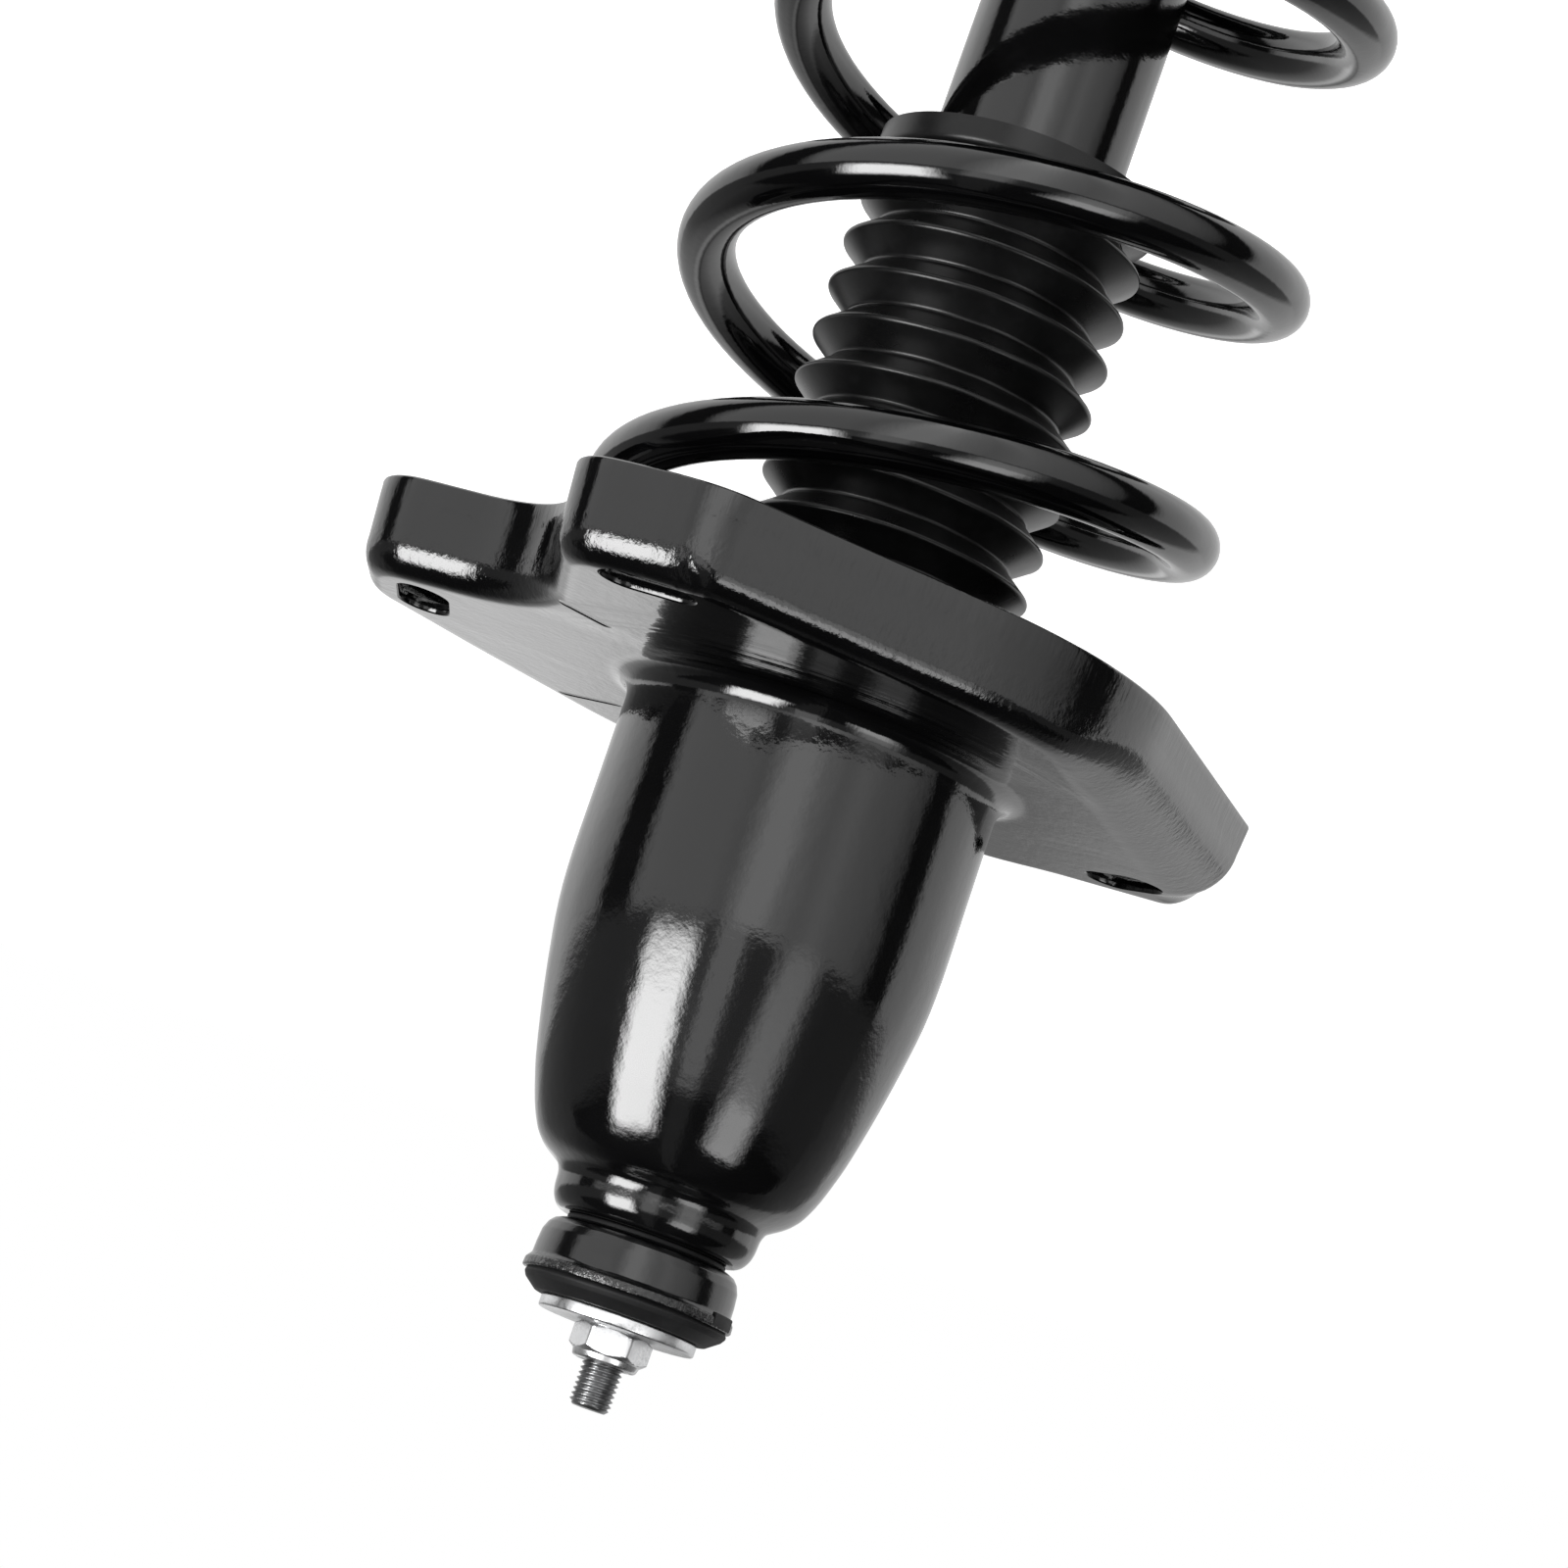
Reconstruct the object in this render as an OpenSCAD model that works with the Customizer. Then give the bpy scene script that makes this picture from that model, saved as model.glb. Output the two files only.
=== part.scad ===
// Rear coil-over strut assembly: rubber-bushed top mount with a deep-drawn bell
// and a lobed tray flange, coil spring, bump stop, bellows boot, twin-tube
// damper and a rubber-bushed lower eye.
// Millimetres. +Z runs along the strut towards the threaded rod end.
// The origin is the centre of the lower eye, whose bolt runs along X.

/* [Lengths along the strut] */
// Lower eye centre to the tip of the threaded rod
tip_z = 590; // [585:1:600]
// Lower eye centre to the face of the flange that meets the vehicle
flange_z = 423; // [420:1:426]
// Lower eye centre to the top of the damper tube
tube_top_z = 300; // [296:1:304]
// Lower eye centre to the lower end of the boot's cuff
cuff_z = 274; // [270:1:278]
// Lower eye centre to the floor of the lower spring seat
seat_z = 118; // [116:1:118]

/* [Top mount] */
// Sheet thickness of the tray flange
sheet_t = 3; // [2.5:0.1:3.5]
// Depth of the tray, from the flange face to the edge of its rim
tray_h = 23; // [20:1:26]
// Outer corner radius between the flange face and the rim
tray_corner = 8; // [6:0.5:9]
// Width of the three mounting slots
slot_w = 12.5; // [11:0.5:14]
// Radius of the hole in the neck's ledge
ledge_hole_r = 13; // [12:0.5:14]
// Radius of the zinc-plated top washer
washer_r = 19.1; // [18:0.1:20]
// Thickness of the top washer
washer_t = 3; // [2.5:0.1:3]
// Width across flats of the top nut
nut_af = 17; // [16:0.5:18]

/* [Spring] */
// Diameter of the spring wire
wire_d = 14.4; // [13:0.1:14.4]
// Mean radius of the coils
coil_r = 68; // [66:0.5:68.5]
// Number of turns from wire end to wire end
coil_turns = 5.35; // [5.1:0.05:5.6]

/* [Boot] */
// Radius of the bellows crests
boot_crest_r = 36.1; // [35:0.1:37]
// Radius of the bellows valleys
boot_valley_r = 28.6; // [28:0.1:30]

/* [Damper] */
// Outer radius of the damper tube
tube_r = 24; // [23:0.1:24]
// Wall thickness of the damper tube
tube_t = 2; // [1.5:0.1:2]
// Radius of the piston rod
rod_r = 7; // [6.8:0.1:7]
// Radius of the rod's threaded end
stud_r = 5; // [4.8:0.1:5]
// Bore radius of the pressure tube
bore_r = 15; // [14.5:0.1:15]
// Radial running clearance of the rod in its guide and the band in its bore
run_gap = 0.05; // [0.03:0.01:0.08]

/* [Lower eye] */
// Outer radius of the eye ring
eye_r = 22; // [21:0.5:22]
// Width of the eye ring
eye_w = 36; // [32:1:38]
// Bore radius of the inner sleeve, for an M12 bolt
eye_bore_r = 6.1; // [6.1:0.05:6.3]
// Length of the inner sleeve
eye_sleeve_l = 42; // [42:1:46]

/* [Hidden] */
$fn = 96;

ink = [0.045, 0.045, 0.048];
rubber = [0.09, 0.09, 0.095];
zinc = [0.86, 0.87, 0.88];
bright = [0.62, 0.63, 0.65];
sinter = [0.36, 0.35, 0.34];
urethane = [0.78, 0.72, 0.5];

wire_r = wire_d / 2;
floor_z = flange_z - sheet_t;          // inner face of the tray floor
coil_top_z = flange_z - 15;            // centre line of the top end coil
coil_fall = 280;                       // centre line drop over the whole spring
ledge_z = tip_z - 41.5;                // vehicle-side face of the neck's ledge
cup_floor_z = tip_z - 40;
washer_z = tip_z - 21.9;               // underside of the top washer
lower_washer_z = tip_z - 59;           // upper face of the lower washer
shoulder_z = lower_washer_z - 2.5;     // rod shoulder under the lower washer
bump_top_z = shoulder_z;
bump_bottom_z = tube_top_z + 143;
guide_z = tube_top_z - 24;             // lower face of the rod guide
piston_z = tube_top_z - 54;            // lower face of the piston
cap_z = 36;                            // top of the tube's bottom cap

// A smooth curve through the points p, n steps from each point to the next
function cr(a, b, c, d, t) = 0.5 * ((2 * b) + (c - a) * t
    + (2 * a - 5 * b + 4 * c - d) * t * t + (3 * b - a - 3 * c + d) * t * t * t);
function curve(p, n) = [for (i = [0:len(p) - 2]) for (k = [0:n - 1])
        cr(p[max(i - 1, 0)], p[i], p[i + 1], p[min(i + 2, len(p) - 1)], k / n),
    p[len(p) - 1]];

// ---- tray outline: corners of the rim, each with the radius that rounds it
rim = [[118.5, 9, 20], [119.5, -16, 9], [73.5, -32.5, 40], [70.5, -101.5, 9],
    [60, -107.8, 16], [50, -112.6, 20], [38, -116, 24], [-37.5, -91.3, 60],
    [-69, -61.5, 40], [-107.5, 38.5, 3], [-101, 55, 14], [-60, 71, 30], [29, 98, 85]];
rim_steps = 9;

function v2(p) = [p[0], p[1]];
function cross2(a, b) = a[0] * b[1] - a[1] * b[0];
function inward(a, b) = let (u = (b - a) / norm(b - a)) [u[1], -u[0]];
function moved(p, i, d) = let (n = len(p),
        n1 = inward(v2(p[(i + n - 1) % n]), v2(p[i])),
        n2 = inward(v2(p[i]), v2(p[(i + 1) % n])))
    v2(p[i]) + d * (n1 + n2) / (1 + n1 * n2);
// the rounded corner i of the outline inset by d, as rim_steps + 1 points
function corner(p, i, d) = let (n = len(p),
        a = moved(p, (i + n - 1) % n, d), b = moved(p, i, d), c = moved(p, (i + 1) % n, d),
        u = (a - b) / norm(a - b), v = (c - b) / norm(c - b),
        turn = cross2(-u, v), r0 = p[i][2],
        r = turn < 0 ? max(r0 - d, 0.6) : r0 + d,
        half = acos(u * v) / 2, q = r / tan(half),
        m = b + (u + v) / norm(u + v) * (r / sin(half)),
        s = b + u * q, e = b + v * q,
        a0 = atan2(s[1] - m[1], s[0] - m[0]), a1 = atan2(e[1] - m[1], e[0] - m[0]),
        da = a1 - a0 > 180 ? a1 - a0 - 360 : a1 - a0 < -180 ? a1 - a0 + 360 : a1 - a0)
    [for (k = [0:rim_steps]) m + r * [cos(a0 + da * k / rim_steps), sin(a0 + da * k / rim_steps)]];
function outline(d) = [for (i = [0:len(rim) - 1]) each corner(rim, i, d)];

// one loop of the tray at inset d and height z
function loop3(d, z) = [for (p = outline(d)) [p[0], p[1], z]];
// the round inner edge of the tray floor, point for point under the outline
function hole3(r, z) = [for (p = outline(0)) let (q = p / norm(p)) [q[0] * r, q[1] * r, z]];

// closed skin over loops of equal length, joined end to end
module skin(loops) {
    n = len(loops[0]);
    m = len(loops);
    polyhedron(points = [for (l = loops) each l],
        faces = [for (j = [0:m - 1]) for (i = [0:n - 1])
            let (a = j * n + i, b = j * n + (i + 1) % n,
                c = ((j + 1) % m) * n + (i + 1) % n, d = ((j + 1) % m) * n + i)
            each [[a, b, c], [a, c, d]]], convexity = 10);
}

module tray() {
    ro = tray_corner;
    ri = tray_corner - sheet_t;
    skin(concat(
        [loop3(0, flange_z - tray_h)],
        [for (k = [0:5]) loop3(ro * (1 - cos(k * 18)), flange_z - ro + ro * sin(k * 18))],
        [hole3(54, flange_z), hole3(54, floor_z)],
        [for (k = [0:4]) loop3(sheet_t + ri * sin(90 - k * 22.5) * 0 + ri * (1 - cos(90 - k * 22.5)),
            floor_z - ri + ri * sin(90 - k * 22.5))],
        [loop3(sheet_t, flange_z - tray_h)]));
}

// ---- bell and neck, outside then inside
bell_out = [[19, 125.5], [21.3, 125.4], [22.7, 124.7], [23.6, 123.7], [24.25, 122.5],
    [24.6, 121.4], [24.9, 119.5], [25.05, 117.4], [25.4, 116.2], [25.97, 115.2], [27.2, 114.3],
    [29.2, 113], [31, 111.5], [32.7, 109.5], [34.1, 107], [35.6, 103.6], [37.5, 98], [39.2, 92],
    [41.75, 80.5], [43.9, 69], [45.7, 57], [46.4, 45], [46.4, 22], [46.4, 7], [46.5, 5.2],
    [46.7, 4], [47.1, 2.8], [47.8, 1.8], [48.9, 0.9], [50.4, 0.25], [52, 0], [55, 0]];
bell_in = [[55, -3], [53, -3], [51, -2.8], [49, -2.2], [47.2, -1.1], [45.6, 0.6], [44.4, 3],
    [43.9, 6], [43.8, 10], [43.8, 22], [43.8, 45], [43.1, 57], [41.3, 68.8], [39.2, 80], [36.7, 91],
    [35, 97], [33.2, 102.3], [31.8, 105.3], [30.4, 107.6], [28.6, 109.3], [26.6, 110.5],
    [24.6, 111.6], [23.3, 113], [22.6, 115], [22.3, 117], [22.3, 120], [22, 121.8],
    [21, 122.8], [19, 123]];

module stadium(x, y, a, l) {
    translate([x, y, floor_z - 6]) rotate([0, 0, a]) linear_extrude(12) union() {
        translate([-(l - slot_w) / 2, -slot_w / 2]) square([l - slot_w, slot_w]);
        translate([-(l - slot_w) / 2, 0]) circle(slot_w / 2, $fn = 48);
        translate([(l - slot_w) / 2, 0]) circle(slot_w / 2, $fn = 48);
    }
}

module mount_housing() {
    color(ink) {
        difference() {
            tray();
            stadium(101, -2.5, 90, 25);
            stadium(47.7, -99.7, 15, 22.5);
            stadium(-82, 41, 48, 22);
        }
        translate([0, 0, flange_z]) rotate_extrude() polygon(concat(
            [[ledge_hole_r, 125.5]], bell_out, [[56, 0], [56, -3]], bell_in,
            [[ledge_hole_r, 123]]));
    }
}

// ---- top bush stack
module bushing_cup() {
    color(ink) translate([0, 0, cup_floor_z]) rotate_extrude() polygon([
        [14, 0], [20.6, 0], [22.25, 0.7], [23.3, 1.9], [23.8, 3], [24.2, 4.1], [24.35, 6.4],
        [24.45, 8.7], [24.6, 9.9], [25.35, 11], [25.6, 12.1], [25.6, 13.4], [24.4, 13.4],
        [23.6, 12.3], [22.9, 10.6], [22.6, 8], [22.6, 4.4], [22, 2.7], [20.8, 2], [14, 2]]);
}

module upper_bush_rubber() {
    color(rubber) translate([0, 0, cup_floor_z]) rotate_extrude() polygon([
        [8, -4], [ledge_hole_r, -4], [ledge_hole_r, -1.5], [19.5, -1.5], [19.5, 0], [14, 0], [14, 2],
        [20.8, 2], [22, 2.7], [22.6, 4.4], [22.6, 8], [22.9, 10.6], [23.6, 12.3], [24.4, 13.4],
        [24.9, 14.4], [24.1, 15.5], [21.2, 17.8], [20.3, 18.1], [8, 18.1]]);
}

module lower_bush_rubber() {
    color(rubber) translate([0, 0, lower_washer_z]) rotate_extrude() polygon([
        [8, 0], [17.6, 0], [19.4, 2], [20, 6], [19.6, 13], [18.6, 15], [8, 15]]);
}

module bush_inner_sleeve() {
    color(bright) translate([0, 0, lower_washer_z]) difference() {
        cylinder(r = 8, h = washer_z - lower_washer_z);
        translate([0, 0, -1]) cylinder(r = stud_r + 0.1, h = washer_z - lower_washer_z + 2);
    }
}

module top_washer() {
    color(zinc) translate([0, 0, washer_z]) difference() {
        cylinder(r = washer_r, h = washer_t);
        translate([0, 0, -1]) cylinder(r = stud_r + 0.15, h = washer_t + 2);
    }
}

module lower_washer() {
    color(zinc) translate([0, 0, shoulder_z]) difference() {
        cylinder(r = 18.5, h = 2.5);
        translate([0, 0, -1]) cylinder(r = stud_r + 0.1, h = 5);
    }
}

module top_nut() {
    color(zinc) translate([0, 0, washer_z + washer_t]) difference() {
        union() {
            intersection() {
                rotate([0, 0, 5]) cylinder(r = nut_af / 2 / cos(30), h = 6.4, $fn = 6);
                translate([0, 0, -4.4]) cylinder(r1 = 16.2, r2 = 8.6, h = 10.9);
            }
            translate([0, 0, 6]) cylinder(r1 = 8.1, r2 = 7.3, h = 2.3);
        }
        translate([0, 0, -1]) cylinder(r = stud_r + 0.05, h = 12);
    }
}

module piston_rod() {
    color(bright) union() {
        translate([0, 0, piston_z + 16]) cylinder(r = rod_r, h = shoulder_z - piston_z - 16);
        translate([0, 0, shoulder_z]) cylinder(r = stud_r, h = tip_z - shoulder_z - 1);
        translate([0, 0, tip_z - 1]) cylinder(r1 = stud_r, r2 = stud_r - 1, h = 1);
        translate([0, 0, piston_z - 14]) cylinder(r = stud_r, h = 30);
    }
}

// ---- what the rod carries inside the damper
module ring(ro, ri, z, h) {
    translate([0, 0, z]) difference() {
        cylinder(r = ro, h = h);
        translate([0, 0, -1]) cylinder(r = ri, h = h + 2);
    }
}

module rebound_stop() { color(bright) ring(11, rod_r, guide_z - 8, 2); }
module rebound_cushion() { color(rubber) ring(10.5, rod_r, guide_z - 6, 5.7); }
module check_valve_plate() { color(bright) ring(12.5, stud_r, piston_z + 13.5, 2.5); }
module rebound_valve_discs() {
    color(bright) union() {
        ring(11.5, stud_r, piston_z - 1, 1);
        ring(9.8, stud_r, piston_z - 2, 1);
        ring(8.2, stud_r, piston_z - 3, 1);
    }
}

module piston() {
    color(sinter) difference() {
        translate([0, 0, piston_z]) cylinder(r = bore_r - 0.4, h = 13.5);
        ring(bore_r + 2, bore_r - 1.4, piston_z + 3, 7.5);
        translate([0, 0, piston_z - 1]) cylinder(r = stud_r, h = 16);
        for (k = [0:5]) rotate([0, 0, k * 60]) translate([9.4, 0, piston_z - 1])
            cylinder(r = 1.4, h = 16, $fn = 24);
    }
}
module piston_band() { color([0.2, 0.35, 0.3]) ring(bore_r - run_gap, bore_r - 1.4, piston_z + 3, 7.5); }
module piston_nut() {
    color(bright) difference() {
        translate([0, 0, piston_z - 10.5]) cylinder(r = 15 / 2 / cos(30), h = 7.5, $fn = 6);
        translate([0, 0, piston_z - 12]) cylinder(r = stud_r, h = 12);
    }
}

module bump_stop() {
    h = bump_top_z - bump_bottom_z;
    n = 5;
    color(urethane) translate([0, 0, bump_bottom_z]) rotate_extrude() polygon(concat(
        [[rod_r + 0.05, h], [rod_r + 0.05, 4], [9.5, 0], [12.5, 0], [14, 2]],
        [for (k = [0:n - 1]) for (s = [0:7])
            let (z = 6 + (h - 16) * (k + s / 8) / n)
            [15.5 + 4 * (z / h) + 2.2 * sin(s * 45 - 90), z]],
        [[19.4, h - 9], [20, h - 8], [20, h]]));
}

// ---- boot: the whole space of its bellows and cuff as one soft sleeve, hung from a flat collar under the tray
boot_wall = 1.8;
module dust_boot() { color(rubber) ring(boot_crest_r, boot_valley_r - boot_wall, cuff_z, floor_z - 2.5 - cuff_z); }
module boot_collar() { color(rubber) ring(56, 29.8 - boot_wall, floor_z - 2.5, 2.5); }

module upper_spring_insulator() {
    color(rubber) rotate_extrude() difference() {
        union() {
            translate([0, floor_z]) polygon([[57, -7.5], [79.5, -7.5], [79.5, -1.5], [76, 0], [57, 0]]);
            translate([50, floor_z - 6]) square([8, 3.5]);
        }
        translate([coil_r, coil_top_z]) circle(wire_r + 0.1, $fn = 48);
    }
}

// ---- spring: flat end coils, a little more pitch below the middle
function ramp(t, c, h) = t < c - h ? 0 : t > c + h ? t - c : (t - c + h) * (t - c + h) / (4 * h);
function fall(t) = 66 * ramp(t, 0.58, 0.28) + 6 * ramp(t, 2.5, 0.3) - 72 * ramp(t, 4.63, 0.28);
// the free coils lean: up on one side, a little off the strut's line
function lean(t) = (t < 0.5 || t > 4.5 ? 0 : t < 3.6 ? 1.6 * (t - 0.5) : 5.51 * (4.5 - t))
    * (pow(sin(180 * (t - 0.1)), 2) - 0.15);
function drift(t) = t < 1.3 || t > 4.5 ? 0 : 2.1 * pow(sin(180 * (t - 1.3) / 3.2), 2);
function coil_p(t) = [coil_r * cos(-360 * t) - drift(t), coil_r * sin(-360 * t),
    coil_top_z - fall(t) + lean(t)];
coil_rings = 192;
coil_sides = 12;

module coil_spring() {
    pts = [for (j = [0:coil_rings]) let (t = coil_turns * j / coil_rings,
            c = coil_p(t), d = (coil_p(t + 0.001) - coil_p(t - 0.001)),
            u = d / norm(d), er = [cos(-360 * t), sin(-360 * t), 0], eb = cross(u, er))
        for (i = [0:coil_sides - 1]) let (a = 360 * (i + 0.5) / coil_sides)
            c + wire_r * (cos(a) * er + sin(a) * eb)];
    n = coil_sides;
    color(ink) polyhedron(points = pts, faces = concat(
        [[for (i = [n - 1:-1:0]) i]],
        [for (j = [0:coil_rings - 1]) for (i = [0:n - 1])
            let (a = j * n + i, b = j * n + (i + 1) % n, c = b + n, d = a + n)
            each [[a, b, c], [a, c, d]]],
        [[for (i = [0:n - 1]) coil_rings * n + i]]), convexity = 10);
}

// ---- damper body
module outer_tube() {
    color(ink) rotate_extrude() polygon([
        [tube_r - tube_t, cap_z], [tube_r, cap_z], [tube_r, tube_top_z - 2.5],
        [tube_r - 0.8, tube_top_z - 0.7], [tube_r - 2.6, tube_top_z], [15, tube_top_z],
        [15, tube_top_z - 2], [tube_r - tube_t, tube_top_z - 2]]);
}

module tube_cap() {
    color(zinc) rotate_extrude() polygon([
        [tube_r, tube_top_z - 12], [tube_r + 1.2, tube_top_z - 12], [tube_r + 1.2, tube_top_z + 0.6],
        [tube_r + 0.4, tube_top_z + 1.5], [9, tube_top_z + 1.5], [9, tube_top_z], [tube_r, tube_top_z]]);
}

module rod_seal() { color(rubber) ring(tube_r - tube_t, rod_r + run_gap, tube_top_z - 8, 6); }

module rod_guide() {
    color(sinter) difference() {
        union() {
            translate([0, 0, tube_top_z - 16]) cylinder(r = tube_r - tube_t, h = 8);
            translate([0, 0, guide_z]) cylinder(r = bore_r, h = 10);
        }
        translate([0, 0, guide_z - 1]) cylinder(r = 8, h = 20);
    }
}
module guide_bush() { color([0.45, 0.38, 0.25]) ring(8, rod_r + run_gap, guide_z, 16); }

module pressure_tube() { color(bright) ring(bore_r + 1.5, bore_r, cap_z + 9, tube_top_z - 16 - cap_z - 9); }

module base_valve() {
    color(sinter) difference() {
        union() {
            translate([0, 0, cap_z + 3]) cylinder(r = bore_r + 3, h = 6);
            translate([0, 0, cap_z + 9]) cylinder(r = bore_r, h = 8);
        }
        for (k = [0:3]) rotate([0, 0, 45 + k * 90]) translate([8, -3, cap_z + 2]) cube([14, 6, 4]);
        for (k = [0:5]) rotate([0, 0, k * 60]) translate([8.5, 0, cap_z + 4])
            cylinder(r = 1.5, h = 16, $fn = 24);
    }
}

module tube_bottom_cap() {
    color(ink) difference() {
        union() {
            translate([0, 0, cap_z]) cylinder(r = tube_r - tube_t, h = 3);
            translate([0, 0, 15]) cylinder(r1 = tube_r - 5, r2 = tube_r, h = 7);
            translate([0, 0, 22]) cylinder(r = tube_r, h = cap_z - 22);
        }
        translate([-50, 0, 0]) rotate([0, 90, 0]) cylinder(r = eye_r, h = 100);
    }
}

module seat_collar() {
    color(ink) translate([0, 0, seat_z]) rotate_extrude() polygon([
        [tube_r, -24], [tube_r + 3, -24], [tube_r + 3, -10], [tube_r + 4.5, -5.5], [tube_r, -5.5]]);
}

module lower_spring_seat() {
    color(ink) translate([0, 0, seat_z]) rotate_extrude() polygon([
        [tube_r, -5.5], [tube_r + 4.5, -5.5], [tube_r + 9, -3],
        [76, -3], [82, -1.2], [84.5, 3], [84.5, 10], [82, 10], [82, 4], [80.2, 1.2], [76, 0],
        [tube_r + 6, 0], [tube_r, 2]]);
}

module lower_spring_insulator() {
    color(rubber) rotate_extrude() difference() {
        translate([0, seat_z]) polygon([[55, 0], [75.7, 0], [80, 1.3], [80, 6], [55, 6]]);
        translate([coil_r, coil_top_z - coil_fall]) circle(wire_r + 0.35, $fn = 48);
    }
}

// ---- lower eye, its axis along X
module along_x(w) { translate([-w / 2, 0, 0]) rotate([0, 90, 0]) children(); }

module eye_ring() {
    color(ink) along_x(eye_w) difference() {
        cylinder(r = eye_r, h = eye_w);
        translate([0, 0, -1]) cylinder(r = eye_r - 3.5, h = eye_w + 2);
    }
}
module eye_outer_sleeve() {
    color(bright) along_x(eye_w) difference() {
        cylinder(r = eye_r - 3.5, h = eye_w);
        translate([0, 0, -1]) cylinder(r = eye_r - 5, h = eye_w + 2);
    }
}
module eye_rubber() {
    color(rubber) along_x(0) rotate_extrude() polygon([
        [9.6 + run_gap - 0.05, -19.5], [13, -19.5], [15.4, -18], [eye_r - 5, -17], [eye_r - 5, 17], [15.4, 18],
        [13, 19.5], [9.6 + run_gap - 0.05, 19.5]]);
}
module eye_inner_sleeve() {
    color(zinc) along_x(eye_sleeve_l) difference() {
        cylinder(r = 9.55, h = eye_sleeve_l);
        translate([0, 0, -1]) cylinder(r = eye_bore_r, h = eye_sleeve_l + 2);
    }
}

mount_housing();
bushing_cup();
upper_bush_rubber();
lower_bush_rubber();
bush_inner_sleeve();
top_washer();
lower_washer();
top_nut();
piston_rod();
rebound_stop();
rebound_cushion();
check_valve_plate();
piston();
piston_band();
rebound_valve_discs();
piston_nut();
bump_stop();
dust_boot();
boot_collar();
upper_spring_insulator();
coil_spring();
outer_tube();
tube_cap();
rod_seal();
rod_guide();
guide_bush();
pressure_tube();
base_valve();
tube_bottom_cap();
seat_collar();
lower_spring_seat();
lower_spring_insulator();
eye_ring();
eye_outer_sleeve();
eye_rubber();
eye_inner_sleeve();
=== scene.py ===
import math

import bpy
import bmesh
import numpy as np
from mathutils import Matrix, Vector


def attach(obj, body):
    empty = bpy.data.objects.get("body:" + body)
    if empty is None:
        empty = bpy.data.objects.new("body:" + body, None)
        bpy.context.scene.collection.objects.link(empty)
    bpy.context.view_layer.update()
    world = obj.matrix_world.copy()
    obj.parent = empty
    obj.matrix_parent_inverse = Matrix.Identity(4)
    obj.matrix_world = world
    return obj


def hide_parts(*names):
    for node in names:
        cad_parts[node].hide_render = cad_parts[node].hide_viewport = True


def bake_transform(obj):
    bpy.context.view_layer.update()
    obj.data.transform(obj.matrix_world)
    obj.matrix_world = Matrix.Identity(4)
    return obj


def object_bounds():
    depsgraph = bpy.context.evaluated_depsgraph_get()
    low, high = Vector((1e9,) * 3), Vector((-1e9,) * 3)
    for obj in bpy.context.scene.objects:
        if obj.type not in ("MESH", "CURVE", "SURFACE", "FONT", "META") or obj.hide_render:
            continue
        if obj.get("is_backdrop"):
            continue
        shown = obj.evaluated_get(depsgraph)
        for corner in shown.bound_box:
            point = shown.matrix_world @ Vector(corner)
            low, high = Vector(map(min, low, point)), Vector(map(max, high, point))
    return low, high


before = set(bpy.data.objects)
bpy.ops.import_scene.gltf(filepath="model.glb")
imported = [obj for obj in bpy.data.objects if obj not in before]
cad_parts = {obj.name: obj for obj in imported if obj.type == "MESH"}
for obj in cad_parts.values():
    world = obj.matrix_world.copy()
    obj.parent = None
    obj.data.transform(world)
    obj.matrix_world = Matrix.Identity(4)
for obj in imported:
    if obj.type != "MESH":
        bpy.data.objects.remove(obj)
CAD_LO, CAD_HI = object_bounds()
scene = bpy.context.scene
MM = 0.001

# ------------------------------------------------------------------ camera
PITCH = math.radians(10.4527)
ROLL = math.radians(19.44)
fw = Vector((0, math.cos(PITCH), -math.sin(PITCH)))
dn = Vector((0, math.sin(PITCH), math.cos(PITCH)))
rt = Vector((-1, 0, 0))
right = math.cos(ROLL) * rt - math.sin(ROLL) * dn
down = math.sin(ROLL) * rt + math.cos(ROLL) * dn
cam_data = bpy.data.cameras.new("camera")
cam_data.sensor_width = 36
cam_data.lens = 4734 / 1600 * 36
cam_data.clip_start = 0.05
cam_data.clip_end = 50
cam = bpy.data.objects.new("camera", cam_data)
scene.collection.objects.link(cam)
m = Matrix.Identity(4)
for i, axis in enumerate((right, -down, -fw)):
    for k in range(3):
        m[k][i] = axis[k]
m.translation = Vector((0.00539, -1.0860, 0.6359))
cam.matrix_world = m
scene.camera = cam

scene.view_settings.view_transform = "Standard"
scene.view_settings.look = "None"

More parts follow.
